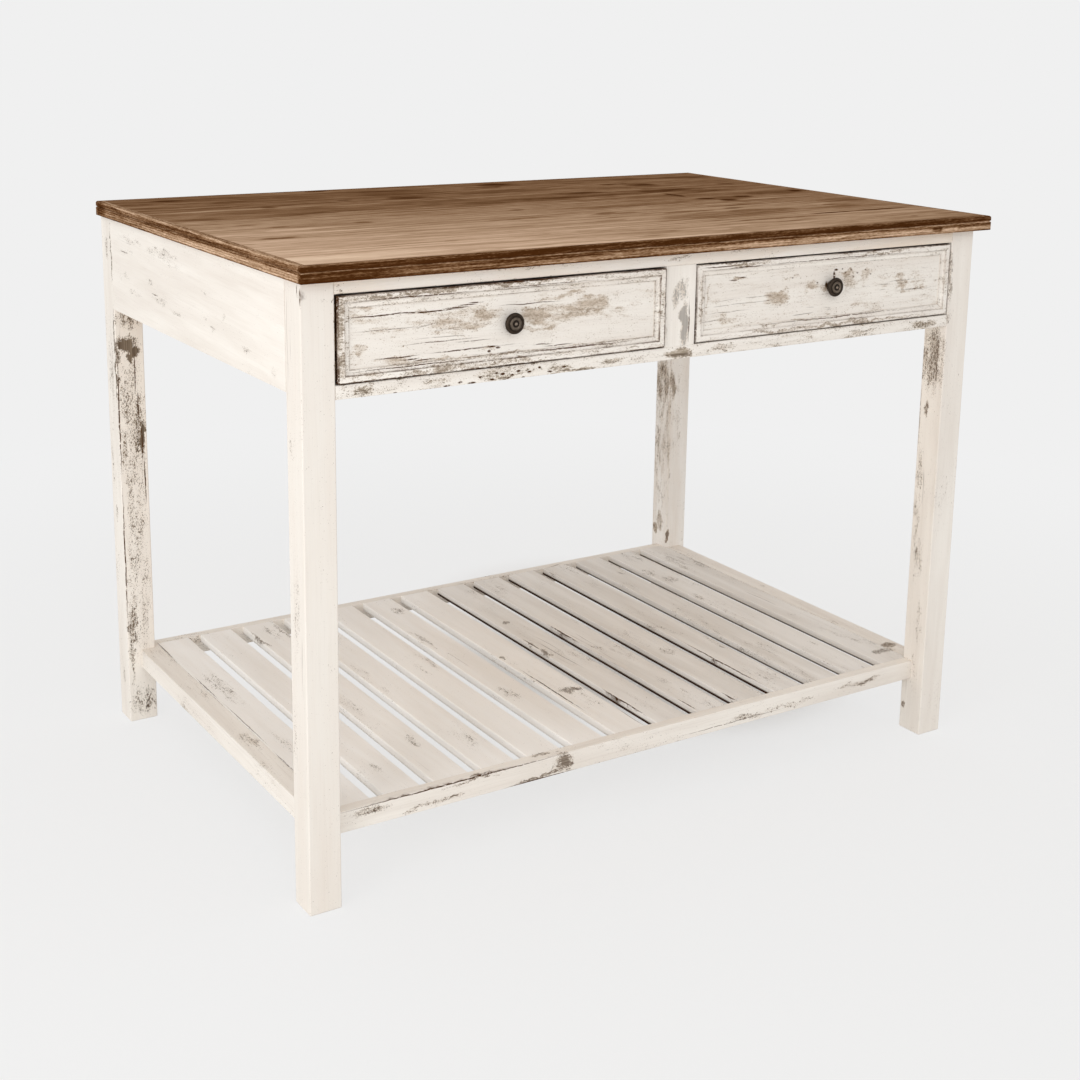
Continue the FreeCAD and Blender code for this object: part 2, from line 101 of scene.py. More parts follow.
def make_timber():
    """Pine as it is sawn: growth rings round a pith that lies along local X, and fibres along X."""
    tree, given, out = new_group(
        "timber",
        {"Vector": "Vector", "Ring width": "Float", "Waviness": "Float"},
        {"Rings": "Float", "Fibres": "Float", "Tone": "Float", "Ring number": "Float"},
    )
    # the pith wanders over each half metre, which closes some of the rings into long tongues
    long_wave = add(tree, "VectorMath", {0: given["Vector"], 1: (2.2, 11.0, 11.0)}, operation="MULTIPLY")
    wander = add(tree, "TexNoise", {"Vector": long_wave, "Scale": 1.0, "Detail": 3.0, "Roughness": 0.55})
    centred = add(tree, "VectorMath", {0: wander.outputs["Color"], 1: MIDDLE}, operation="SUBTRACT")
    amount = add(tree, "VectorMath", {0: centred, "Scale": given["Waviness"]}, operation="SCALE")
    moved = add(tree, "VectorMath", {0: given["Vector"], 1: amount}, operation="ADD")
    across = add(tree, "VectorMath", {0: moved, 1: (0.0, 1.0, 1.0)}, operation="MULTIPLY")
    radius = add(tree, "VectorMath", {0: across}, operation="LENGTH")
    rings = add(tree, "Math", {0: radius, 1: given["Ring width"]}, operation="DIVIDE")
    number = add(tree, "Math", {0: rings}, operation="FLOOR")
    saw = add(tree, "Math", {0: rings}, operation="FRACT")
    # early wood darkens slowly outwards to the late wood and stops short at the next ring
    rise = add(tree, "Math", {0: saw, 1: 3.0}, operation="POWER")
    stop = add(tree, "MapRange", {"Value": saw, "From Min": 1.0, "From Max": 0.9}, **SMOOTH)
    profile = add(tree, "Math", {0: rise, 1: stop}, operation="MULTIPLY")
    # fibres 2.5 mm wide, coarser than real ones so that they show
    along = add(tree, "VectorMath", {0: given["Vector"], 1: (9.0, 400.0, 400.0)}, operation="MULTIPLY")
    fibres = add(tree, "TexNoise", {"Vector": along, "Scale": 1.0, "Detail": 3.0, "Roughness": 0.6})
    slow = add(tree, "VectorMath", {0: moved, 1: (2.5, 26.0, 26.0)}, operation="MULTIPLY")
    tone = add(tree, "TexNoise", {"Vector": slow, "Scale": 1.0, "Detail": 4.0, "Roughness": 0.6})
    for name, node in (("Rings", profile), ("Fibres", fibres), ("Tone", tone), ("Ring number", number)):
        tree.links.new(node.outputs[0], out[name])
    return tree


def make_worn_paint(timber):
    """Chalk paint rubbed through to grey-brown pine.

    Rub runs from 0 where the paint is whole to 1 where most is gone, the input for cracks is 1 on
    splits and on lines of soiling and painted shade, Lines is 1 where the late wood has pushed
    through the paint, and the input for painted shade is 1 where a dark painted shade covers it all.
    """
    tree, given, out = new_group(
        "worn paint",
        {"Grain": "Vector", "Rub": "Float", "Crack and shade": "Float", "Lines": "Float", "Side": "Float",
         "Edge": "Float", "Age": "Float", "Film": "Float", "Brush": "Float", "Paint": "Color",
         "Shade": "Color", "Bare": "Color", "Deep": "Color"},
        {"Color": "Color", "Roughness": "Float", "Height": "Float"},
    )
    wood = add(tree, "Group", {"Vector": given["Grain"], "Ring width": 8 * MM, "Waviness": 40 * MM},
               node_tree=timber)
    rings, fibres, tone = (wood.outputs[k] for k in ("Rings", "Fibres", "Tone"))

    # flakes of lost paint about 2.5 mm across the grain and 6 mm along it, and pits half that size
    pitted = add(tree, "VectorMath", {0: given["Grain"], 1: (420.0, 900.0, 900.0)}, operation="MULTIPLY")
    pits = add(tree, "TexNoise", {"Vector": pitted, "Scale": 1.0, "Detail": 1.0})
    flakes = add(tree, "TexNoise", {"Vector": pitted, "Scale": 0.42, "Detail": 3.0, "Roughness": 0.65})
    # worn places 60 mm wide and 130 mm long that come and go over a whole board
    drifting = add(tree, "VectorMath", {0: given["Grain"], 1: (8.0, 17.0, 17.0)}, operation="MULTIPLY")
    drift = add(tree, "TexNoise", {"Vector": drifting, "Scale": 1.0, "Detail": 4.0, "Roughness": 0.6})
    # rags 9 mm wide and 45 mm long, which tear the outline of a worn place
    ragged = add(tree, "VectorMath", {0: given["Grain"], 1: (22.0, 110.0, 110.0)}, operation="MULTIPLY")
    rags = add(tree, "TexNoise", {"Vector": ragged, "Scale": 1.0, "Detail": 5.0, "Roughness": 0.7})

    # a place is rubbed where marks lie, with age where the drift is high, and along the arrises
    aged = add(tree, "MapRange", {"Value": drift, "From Min": 0.5, "From Max": 0.74, "To Max": 0.72})
    aged = add(tree, "Math", {0: aged, 1: given["Age"]}, operation="MULTIPLY")
    rub = add(tree, "Math", {0: given["Rub"], 1: aged}, operation="MAXIMUM")
    uneven = add(tree, "MapRange", {"Value": drift, "From Min": 0.35, "From Max": 0.65})
    arris = add(tree, "Math", {0: given["Edge"], 1: uneven}, operation="MULTIPLY")
    rub = add(tree, "Math", {0: arris, 1: 0.55, 2: rub}, operation="MULTIPLY_ADD")
    torn = add(tree, "MapRange", {"Value": rags, "From Min": 0.3, "From Max": 0.7,
                                  "To Min": -0.34, "To Max": 0.34})
    touched = add(tree, "MapRange", {"Value": rub, "From Max": 0.25})
    rub = add(tree, "Math", {0: torn, 1: touched, 2: rub}, operation="MULTIPLY_ADD")

    # the more it is rubbed, the more pits and flakes reach the wood, until no paint is left
    whole = add(tree, "Math", {0: 1.0, 1: rub}, operation="SUBTRACT", use_clamp=True)
    whole = add(tree, "Math", {0: whole, 1: 1.5}, operation="POWER")
    pit_level = add(tree, "Math", {0: whole, 1: 0.29, 2: 0.47}, operation="MULTIPLY_ADD")
    pitting = add(tree, "Math", {0: pits, 1: pit_level}, operation="SUBTRACT")
    pitting = add(tree, "MapRange", {"Value": pitting, "From Min": -0.04, "From Max": 0.05,
                                     "To Max": 0.8}, **SMOOTH)
    flake_level = add(tree, "Math", {0: whole, 1: 0.27, 2: 0.49}, operation="MULTIPLY_ADD")
    flaking = add(tree, "Math", {0: flakes, 1: flake_level}, operation="SUBTRACT")
    flaking = add(tree, "MapRange", {"Value": flaking, "From Min": -0.012, "From Max": 0.02}, **SMOOTH)
    gone = add(tree, "MapRange", {"Value": rub, "From Min": 1.0, "From Max": 1.14}, **SMOOTH)
    bare = add(tree, "Math", {0: pitting, 1: flaking}, operation="MAXIMUM")
    bare = add(tree, "Math", {0: bare, 1: gone}, operation="MAXIMUM")
    # and round them the paint is a thin, stained film
    film = add(tree, "MapRange", {"Value": rub, "From Min": 0.22, "From Max": 0.8,
                                  "To Max": given["Film"]})

    # late wood that shows as thin lines, ring by ring, and splits, with the lines of soiling and painted
    # shade that come in with them
    chance = add(tree, "TexWhiteNoise", {"W": wood.outputs["Ring number"]}, noise_dimensions="1D")
    running = add(tree, "VectorMath", {0: given["Grain"], 1: (6.0, 40.0, 40.0)}, operation="MULTIPLY")
    reach = add(tree, "TexNoise", {"Vector": running, "Scale": 1.0, "Detail": 3.0})
    lucky = add(tree, "Math", {0: chance, 1: 0.16, 2: reach}, operation="MULTIPLY_ADD")
    lucky = add(tree, "Math", {0: given["Lines"], 1: 0.26, 2: lucky}, operation="MULTIPLY_ADD")
    lucky = add(tree, "MapRange", {"Value": lucky, "From Min": 0.76, "From Max": 0.9, "To Max": 0.6},
                **SMOOTH)
    late = add(tree, "MapRange", {"Value": rings, "From Min": 0.48, "From Max": 0.64}, **SMOOTH)
    line = add(tree, "Math", {0: late, 1: lucky}, operation="MULTIPLY")
    broken = add(tree, "MapRange", {"Value": flakes, "From Min": 0.34, "From Max": 0.46})
    split_and_shade = add(tree, "Math", {0: given["Crack and shade"], 1: 1.5}, operation="MULTIPLY", use_clamp=True)
    split_and_shade = add(tree, "Math", {0: split_and_shade, 1: broken}, operation="MULTIPLY")
    split_and_shade = add(tree, "Math", {0: split_and_shade, 1: line}, operation="MAXIMUM")

    # colours, from the paint down to the wood
    mottle = add(tree, "MapRange", {"Value": tone, "From Min": 0.38, "From Max": 0.66})
    colour = add(tree, "Mix", {"Factor": mottle, "A": given["Paint"], "B": given["Shade"]}, **COLOURS)
    brush = add(tree, "MapRange", {"Value": fibres, "From Min": 0.5, "From Max": 0.8,
                                   "To Max": given["Brush"]})
    colour = add(tree, "Mix", {"Factor": brush, "A": colour, "B": "#BDB1A5"}, **COLOURS)
    thin = add(tree, "Mix", {"Factor": fibres, "A": "#E0D2C2", "B": "#B9A896"}, **COLOURS)
    colour = add(tree, "Mix", {"Factor": film, "A": colour, "B": thin}, **COLOURS)
    dry = add(tree, "MapRange", {"Value": fibres, "From Min": 0.35, "From Max": 0.68})
    pine = add(tree, "Mix", {"Factor": dry, "A": given["Bare"], "B": given["Deep"]}, **COLOURS)
    shadow = add(tree, "Math", {0: rings, 1: 0.5}, operation="MULTIPLY")
    pine = add(tree, "Mix", {"Factor": shadow, "A": pine, "B": given["Deep"]}, **COLOURS)
    colour = add(tree, "Mix", {"Factor": bare, "A": colour, "B": pine}, **COLOURS)
    # splits, and the lines of soiling and painted shade, in dark brown
    colour = add(tree, "Mix", {"Factor": split_and_shade, "A": colour, "B": "#4C3018"}, **COLOURS)
    # painted shade: a near black-brown over faces that lie in the shade of gaps between parts
    colour = add(tree, "Mix", {"Factor": given["Side"], "A": colour, "B": "#3A2110"}, **COLOURS)

    # the paint film stands over the wood and keeps its brush strokes
    height = add(tree, "Math", {0: 1.0, 1: bare}, operation="SUBTRACT")
    height = add(tree, "Math", {0: fibres, 1: 0.3, 2: height}, operation="MULTIPLY_ADD")
    height = add(tree, "Math", {0: split_and_shade, 1: -0.2, 2: height}, operation="MULTIPLY_ADD")
    rough = add(tree, "MapRange", {"Value": fibres, "From Min": 0.3, "From Max": 0.7,
                                   "To Min": 0.66, "To Max": 0.84})
    tree.links.new(colour.outputs[2], out["Color"])
    tree.links.new(rough.outputs[0], out["Roughness"])
    tree.links.new(height.outputs[0], out["Height"])
    return tree


MARK = make_mark()
TIMBER = make_timber()
WORN_PAINT = make_worn_paint(TIMBER)


# ---------------- places of wear, and lines of painted shade
def face_of(node, axis, end):
    """The axis that a face of a piece is square to, and where on that axis it is, in millimetres."""
    return axis, round(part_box(node)[end][axis] / MM)


def on_plane(face, rows, depth=9):
    """Marks on a face, from rows of centre a, centre b, half a, half b in millimetres, and strength.

    A and b are the other two of X, Y and Z, and depth is how far the marks reach through the face.
    """
    axis, plane = face
    marks = []
    for a, b, half_a, half_b, strength in rows:
        centre, half = [a, b], [half_a, half_b]
        centre.insert(axis, plane)
        half.insert(axis, depth)
        marks.append((centre, half, strength))
    return marks


FRONT, LEFT = face_of("leg_front_left", Y, LOW), face_of("leg_front_left", X, LOW)
SHELF, SHELF_FRONT = face_of("shelf_slat_01", Z, HIGH), face_of("shelf_rail_front", Y, LOW)
TOP = face_of("top_board_1", Z, HIGH)
FRONT_EDGE, LEFT_EDGE = face_of("top_lipping_front", Y, LOW), face_of("top_lipping_left", X, LOW)
BACK_LEGS_FRONT, RIGHT_LEGS_LEFT = face_of("leg_back_left", Y, LOW), face_of("leg_front_right", X, LOW)

# rubbed places
RUBS = (
    on_plane(FRONT, [
        # left drawer: its field, then its moulding
        (-360, 808, 76, 24, 0.5), (-335, 816, 34, 11, 0.64), (-215, 806, 90, 22, 0.52),
        (-160, 812, 40, 18, 0.68), (-168, 808, 26, 9, 0.74), (-250, 806, 44, 16, 0.62),
        (-470, 806, 60, 12, 0.36), (-442, 822, 50, 6, 0.38), (-215, 828, 60, 4, 0.5),
        (-190, 832, 14, 2.5, 0.9), (-470, 765, 40, 7, 0.48), (-330, 766, 20, 5, 0.5),
        (-250, 788, 60, 4, 0.5), (-520, 786, 14, 10, 0.45), (-100, 800, 40, 20, 0.3),
        (-515, 838, 20, 6, 0.5), (-440, 758, 60, 4, 0.5), (-549, 800, 9, 80, 0.98),
        (-430, 852, 150, 5, 0.85), (-250, 852, 180, 4, 0.7), (-36, 800, 9, 60, 0.55),
        (-420, 745, 130, 5, 0.85), (-300, 744, 80, 5, 0.75), (-120, 745, 90, 3, 0.55),
        (-520, 746, 36, 6, 0.6), (-300, 756, 250, 2, 0.6),
        # right drawer
        (183, 798, 52, 20, 0.55), (185, 797, 30, 12, 0.66), (262, 807, 40, 14, 0.62),
        (282, 807, 8, 10, 1), (330, 823, 36, 6, 0.66), (250, 825, 34, 3, 0.5), (345, 815, 46, 18, 0.62),
        (365, 822, 20, 9, 0.8), (450, 798, 30, 23, 0.72), (462, 796, 84, 18, 0.5),
        (240, 824, 60, 5, 0.55), (395, 770, 90, 16, 0.4), (285, 803, 22, 16, 0.66),
        (80, 773, 46, 12, 0.5), (150, 757, 120, 4, 0.45), (108, 829, 20, 4, 0.6), (400, 760, 90, 4, 0.4),
        (35, 798, 7, 66, 0.5), (48, 800, 4, 50, 0.4), (120, 853, 90, 4, 0.7), (533, 800, 7, 56, 0.3),
        (280, 745, 250, 4, 0.72), (400, 852, 120, 3, 0.5), (200, 757, 180, 2, 0.6),
        (440, 812, 60, 3, 0.6),
        # upright between the drawers and the two rails
        (3, 770, 9, 34, 1.5), (0, 822, 12, 24, 0.62), (-12, 812, 7, 20, 0.6), (-10, 867, 32, 4, 0.6),
        (-515, 730, 20, 9, 0.72), (-485, 728, 40, 8, 0.42), (-410, 728, 40, 8, 0.5),
        (-295, 730, 80, 9, 0.54), (-300, 724, 45, 3, 0.8), (-212, 728, 32, 8, 0.52),
        (-190, 723, 60, 3, 0.9), (-125, 727, 26, 6, 0.5), (-5, 727, 30, 9, 1), (5, 724, 20, 5, 1.15),
        (78, 729, 34, 7, 0.55), (180, 722, 40, 3, 0.5), (358, 728, 40, 7, 0.52), (490, 728, 34, 8, 0.72),
        (250, 725, 40, 4, 0.4), (-300, 875, 120, 3, 0.4), (-250, 872, 80, 3, 0.35),
        (120, 873, 60, 3, 0.4), (544, 805, 8, 60, 0.46), (546, 736, 8, 12, 0.55),
    ])
    # left end
    + on_plane(LEFT, [
        (110, 848, 80, 13, 0.44), (70, 838, 50, 7, 0.3), (260, 852, 70, 9, 0.36), (275, 832, 34, 6, 0.36),
        (130, 776, 40, 7, 0.48), (60, 768, 40, 5, 0.4), (170, 795, 14, 7, 0.4), (-130, 792, 8, 5, 0.4),
        (-90, 766, 14, 5, 0.45), (-60, 780, 10, 4, 0.45), (-300, 746, 12, 9, 0.35),
        (-60, 815, 20, 4, 0.4), (-210, 760, 20, 8, 0.4), (300, 790, 40, 6, 0.36), (240, 768, 40, 5, 0.4),
        (377, 826, 9, 20, 0.5), (377, 590, 7, 70, 0.4), (379, 370, 6, 16, 0.42), (377, 80, 9, 24, 0.35),
        (392, 460, 5, 60, 0.4), (-355, 657, 12, 20, 0.3), (-362, 425, 14, 96, 0.22),
        (-350, 250, 8, 50, 0.2), (356, 640, 5, 90, 1), (356, 820, 4, 60, 0.7), (375, 620, 18, 70, 0.36),
        (-384, 862, 5, 14, 0.4),
    ])
    # fronts of the back legs, left one first
    + on_plane(BACK_LEGS_FRONT, [
        (-580, 708, 26, 19, 0.66), (-586, 668, 22, 16, 1.5), (-572, 655, 10, 12, 1.4),
        (-579, 645, 6, 12, 1.3), (-580, 520, 30, 150, 0.46), (-590, 560, 12, 60, 0.6),
        (-572, 520, 9, 80, 0.75), (-564, 508, 7, 34, 1.45), (-580, 290, 28, 190, 0.36),
        (-590, 400, 10, 70, 0.6), (-594, 180, 10, 46, 0.68), (-580, 35, 28, 34, 0.52),
        (-597, 150, 5, 110, 0.6), (548, 470, 10, 40, 0.56), (547, 155, 5, 16, 1.1),
        (570, 620, 12, 50, 0.4), (560, 380, 20, 70, 0.32),
    ])
    # left faces of the right legs
    + on_plane(RIGHT_LEGS_LEFT, [
        (-362, 662, 30, 64, 0.8), (-364, 675, 16, 36, 0.9), (-354, 576, 5, 16, 1),
        (-348, 430, 10, 130, 0.4), (-358, 310, 10, 50, 0.42), (-345, 44, 3, 7, 1),
        (-370, 200, 8, 50, 0.35), (-365, 110, 9, 40, 0.4), (377, 480, 36, 60, 0.6),
        (377, 350, 32, 110, 0.34), (385, 600, 20, 60, 0.45), (377, 180, 16, 30, 0.55),
        (390, 160, 8, 16, 0.8), (377, 420, 60, 300, 0.3),
    ])
    # slats of the shelf, then its front rail
    + on_plane(SHELF, [
        (-562, -75, 14, 36, 0.48), (-522, 130, 18, 95, 0.44), (-520, -120, 10, 60, 0.3),
        (-385, 295, 5, 40, 0.85), (-355, 315, 10, 44, 0.39), (-335, 320, 6, 60, 0.47),
        (-300, 60, 10, 60, 0.3), (-210, -345, 24, 8, 0.47), (-112, 300, 14, 22, 0.51),
        (30, 150, 10, 8, 1.1), (17, 38, 5, 10, 1), (16, -8, 6, 20, 1.1), (-63, 8, 5, 10, 0.9),
        (-40, -165, 18, 16, 1), (-28, -166, 22, 8, 1.1), (203, -112, 15, 22, 0.47),
        (300, -120, 8, 40, 0.4), (420, 240, 12, 30, 0.44), (420, 80, 10, 24, 0.43),
        (432, 190, 20, 24, 0.43), (460, 330, 10, 24, 0.39), (530, -300, 26, 14, 1),
        (560, -285, 18, 12, 1), (150, 200, 12, 40, 0.3), (250, 330, 12, 16, 0.35),
        (60, 320, 12, 20, 0.35), (340, 200, 16, 40, 0.35), (120, -212, 12, 20, 0.39),
        (-180, 60, 8, 60, 0.35), (-140, 150, 10, 60, 0.4), (-350, -205, 9, 30, 0.47),
        (-440, -265, 10, 30, 0.39), (-130, -130, 14, 40, 0.4), (-300, -10, 12, 20, 0.4),
        (540, 240, 14, 50, 0.4), (-205, 40, 10, 50, 0.35), (170, -330, 14, 16, 0.4),
    ], depth=14)
    + on_plane(SHELF_FRONT, [
        (-175, 112, 22, 18, 0.95), (-172, 113, 12, 14, 1.3), (-215, 99, 55, 4, 0.9),
        (-390, 104, 62, 5, 0.6), (220, 108, 120, 6, 0.5), (-500, 120, 40, 8, 0.5), (420, 112, 60, 8, 0.5),
        (-330, 124, 60, 4, 0.6),
    ])
)

# places where rings of late wood show through the paint
LINES = (
    on_plane(FRONT, [
        (-440, 800, 110, 40, 0.85), (-250, 790, 160, 45, 0.6), (-300, 765, 220, 12, 0.9),
        (-120, 760, 80, 20, 0.6), (120, 800, 90, 34, 0.8), (430, 795, 110, 34, 0.9),
        (250, 770, 160, 20, 0.7),
    ])
    + on_plane(LEFT, [(180, 850, 160, 14, 0.6)])
    + on_plane(SHELF, [(60, -60, 70, 160, 0.6), (330, 0, 60, 300, 0.4)], depth=14)
)

# long splits, given as short stretches, and the dark lines of soiling and painted shade in the mouldings'
# quirks
CRACKS_AND_QUIRK_SHADE = (
    on_plane(FRONT, [
        (-475, 825.5, 66, 1, 1), (-410, 824.6, 40, 1, 1), (-378, 826.4, 20, 1, 1),
        (-360, 829, 14, 0.9, 1), (-347, 831.2, 12, 0.9, 0.9), (-468, 767.6, 34, 0.9, 0.9),
        (-448, 763.4, 14, 1, 1), (-428, 760.6, 16, 0.9, 0.8), (-372, 768.4, 44, 0.9, 0.9),
        (-322, 768.2, 8, 1.4, 0.9), (-312, 766, 4, 1.6, 1), (-326, 762, 3, 1.8, 1),
        (-240, 764, 16, 0.8, 0.7), (-215, 761, 26, 0.8, 0.7), (-400, 783, 60, 0.7, 0.6),
        (-350, 779, 30, 0.6, 0.6), (-200, 756, 70, 0.8, 0.6), (-480, 806, 50, 0.6, 0.5),
        # the long stretches along z 847 to 849 and 754 to 756 lie in the mouldings' quirks: soiling and
        # painted shade
        (-260, 823, 50, 0.8, 0.7), (-440, 847.5, 100, 1, 0.9), (-240, 848.2, 100, 0.8, 0.6),
        (-440, 754.5, 100, 0.9, 0.7), (-180, 755, 100, 0.9, 0.7), (281, 807, 4, 6, 1),
        (296, 821, 3, 8, 1.2), (300, 829.5, 5, 2, 1.2), (70, 850.6, 34, 0.9, 0.9),
        (118, 847.4, 34, 0.9, 0.9), (97, 828, 9, 1.1, 0.9), (113, 831, 10, 1.1, 0.9),
        (318, 824, 2.4, 1.6, 1), (330, 828, 2.2, 1.6, 1), (344, 822, 2.6, 1.5, 1),
        (361, 826, 2.2, 1.6, 0.9), (312, 830, 1.8, 1.5, 0.9), (372, 818, 2.4, 1.4, 0.8),
        (336, 817, 2.2, 1.4, 0.8), (228, 822, 2.2, 1.4, 0.8), (212, 823, 2, 1.3, 0.8),
        (262, 812, 2.6, 1.6, 0.8), (440, 803, 40, 0.7, 0.6), (470, 787, 44, 0.7, 0.7),
        (90, 781, 46, 0.7, 0.6), (60, 770, 30, 0.7, 0.6), (300, 848.2, 180, 0.8, 0.6),
        (300, 756, 190, 0.9, 0.7), (12, 775, 1, 30, 0.8), (-392, 721, 6, 1.7, 1),
        (-372, 724, 4, 1.5, 0.9), (-354, 720.5, 7, 1.6, 1), (-340, 727, 3, 1.7, 0.9),
        (-322, 723, 4, 1.6, 1), (-305, 729, 4, 1.9, 1), (-296, 722, 3, 1.5, 0.9), (-280, 730, 4, 1.7, 1),
        (-262, 727, 4, 1.6, 0.9), (-245, 731, 3, 1.7, 0.9), (-228, 724, 5, 1.4, 0.8),
        (-205, 728, 4, 1.5, 0.8), (-470, 720, 3, 1.4, 0.8), (-290, 726, 2.4, 1.6, 0.9),
        (-315, 731, 2.6, 1.4, 0.8), (-272, 721, 3, 1.4, 0.9),
    ])
    + on_plane(BACK_LEGS_FRONT, [
        (-573, 615, 1, 34, 1), (-569, 555, 1, 32, 1), (-565, 495, 1.1, 34, 1), (-562, 430, 1.2, 40, 1),
        (-602, 560, 1.2, 120, 0.8), (-602, 300, 1.2, 120, 0.8),
    ])
    + on_plane(LEFT, [
        (-386, 858, 1, 12, 0.6), (-378, 866, 1, 8, 0.8), (290, 829, 18, 0.8, 0.6),
        (150, 781, 14, 0.9, 0.7),
    ])
    + on_plane(RIGHT_LEGS_LEFT, [(-341, 560, 0.9, 60, 0.5), (-372, 660, 1, 40, 0.6)])
    + on_plane(SHELF, [
        (-546, 330, 1, 50, 0.6), (-545, 140, 1, 50, 0.7), (-544, -20, 1, 90, 0.5),
        (-546, -180, 1, 40, 0.5), (15, 30, 1.2, 34, 0.9), (-62, -150, 1.4, 90, 1), (92, 50, 1.4, 50, 0.9),
        (12, -250, 1.2, 60, 0.9), (94, -310, 1.2, 24, 1), (172, -320, 1.2, 20, 0.9),
        (252, -200, 1.4, 110, 0.9), (327, -70, 1.4, 110, 0.9), (470, 60, 1.2, 60, 0.8),
    ], depth=14)
    + on_plane(SHELF_FRONT, [
        (-360, 127, 180, 1.2, 0.8), (-215, 97, 60, 1.4, 0.9), (150, 104, 110, 0.8, 0.5),
    ])
)

# the top: knots, soft stains, thin dark lines and places worn lighter
KNOTS = on_plane(TOP, [
    (322, 66, 9, 34, 0.85), (338, 0, 20, 12, 0.9), (362, -35, 20, 15, 1.15), (422, 0, 20, 12, 0.95),
    (575, 40, 14, 18, 0.8), (-50, -5, 15, 11, 0.65), (-345, -45, 17, 15, 0.6), (-480, -40, 20, 8, 0.5),
    (-520, -5, 20, 9, 0.5), (-510, 350, 26, 14, 0.55), (-225, 385, 22, 9, 0.9), (-240, 240, 16, 10, 0.55),
    (-393, 195, 15, 13, 0.6), (125, 355, 32, 20, 0.45), (380, 240, 20, 15, 0.45), (290, -135, 20, 8, 0.9),
    (-530, -152, 26, 8, 0.6), (490, -350, 8, 6, 0.6), (60, -100, 20, 8, 0.5), (-120, 225, 26, 16, 0.25),
    (405, -256, 46, 7, 0.75),
], depth=10)
STAINS = on_plane(TOP, [
    (-315, 118, 330, 42, 0.36), (-540, 100, 60, 26, 0.55), (-60, 100, 70, 30, 0.55),
    (120, 132, 190, 26, 0.6), (190, 165, 60, 18, 0.7), (360, 138, 90, 26, 0.8), (170, -28, 160, 16, 0.8),
    (380, -10, 60, 30, 0.6), (520, 30, 90, 26, 0.55), (-530, -152, 40, 12, 0.6),
    (-430, -42, 120, 18, 0.5), (-90, -107, 84, 9, 0.6), (65, -116, 52, 12, 0.75),
    (195, -145, 48, 10, 0.9), (320, -100, 62, 10, 0.8), (230, -205, 170, 44, 0.7),
    (300, -190, 90, 34, 0.75), (510, -254, 64, 7, 0.85), (-330, -279, 14, 12, 0.4),
    (-580, 315, 40, 9, 0.8), (-125, 230, 50, 22, 0.7), (125, 350, 50, 30, 0.5), (380, 240, 40, 26, 0.6),
    (330, 270, 24, 10, 0.8), (530, 190, 26, 10, 0.8), (-330, 145, 60, 14, 0.5), (420, 110, 60, 20, 0.6),
    (550, -120, 60, 30, 0.6), (-100, 300, 120, 40, 0.4), (-430, 270, 160, 30, 0.2),
    (250, 60, 200, 16, 0.3), (-200, 20, 160, 12, 0.3), (480, -200, 100, 14, 0.5),
    (60, 250, 160, 24, 0.35), (540, 320, 60, 40, 0.3),
], depth=12)
TOP_LINES = on_plane(TOP, [
    (160, -258, 34, 5, 1), (265, -279, 120, 5, 1), (265, -315, 42, 5, 0.75), (470, -51, 90, 3, 1),
    (400, -256, 60, 5, 1.1), (510, -252, 70, 5, 1.1), (-300, 75, 310, 2.5, 0.5),
    (200, 118, 200, 2.5, 0.4), (-400, -281, 100, 4, 0.7), (-290, -272, 60, 3, 0.75),
    (-430, -296, 70, 3, 0.6), (-330, -166, 30, 3, 0.7), (-330, -190, 30, 3, 0.7),
    (-165, -275, 12, 4, 0.9), (-100, -275, 26, 3, 0.8), (-45, -360, 34, 5, 0.9), (120, -390, 34, 3, 0.9),
    (400, -389, 200, 3, 0.9), (-500, -270, 20, 3, 0.7), (-480, -396, 60, 3, 0.7),
    (200, -345, 60, 2.5, 0.5), (-250, -330, 90, 2.5, 0.4), (-60, -230, 90, 3, 0.45),
], depth=12)
WORN_LIGHT = on_plane(TOP, [
    (-525, 185, 60, 6, 0.9), (-430, -112, 95, 5, 0.9), (-570, 60, 30, 10, 0.8), (-470, -75, 50, 14, 0.6),
    (-480, -350, 150, 36, 0.4), (-150, -385, 400, 9, 0.8), (430, -37, 70, 4, 1), (400, -268, 60, 4, 0.6),
    (430, -310, 160, 10, 0.6), (330, -75, 60, 6, 0.7), (150, -160, 60, 5, 0.6), (120, -320, 90, 8, 0.6),
    (-90, 180, 60, 5, 0.6), (540, -300, 70, 16, 0.5), (-60, 60, 200, 6, 0.4), (-380, 255, 40, 4, 0.7),
], depth=12)


def near(node, marks):
    """The marks that reach a piece, with 10 mm to spare for the wobble of their outlines."""
    low, high = (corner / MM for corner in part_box(node))
    spare = 10
    return [
        (centre, half, strength) for centre, half, strength in marks
        if all(c + MARK_REACH * h + spare > a and c - MARK_REACH * h - spare < b
               for c, h, a, b in zip(centre, half, low, high))
    ]


def mark_field(tree, vector, marks, field=0.0):
    """Joins marks into one field, over a level that holds everywhere."""
    for centre, half, strength in marks:
        field = add(tree, "Group", {
            "Field": field, "Vector": vector, "Strength": strength,
            "Centre": [c * MM for c in centre], "Half size": [h * MM for h in half],
        }, node_tree=MARK)
    return field


def edge_distance(tree, place, node):
    """How far in from the outline of an upright front a point lies, in metres."""
    low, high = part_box(node)
    offset = add(tree, "VectorMath", {0: place, 1: (low + high) / 2}, operation="SUBTRACT")
    offset = add(tree, "VectorMath", {0: offset}, operation="ABSOLUTE")
    inside = add(tree, "VectorMath", {0: (high - low) / 2, 1: offset}, operation="SUBTRACT")
    axes = add(tree, "SeparateXYZ", {0: inside})
    return add(tree, "Math", {0: axes.outputs["X"], 1: axes.outputs["Z"]}, operation="MINIMUM")


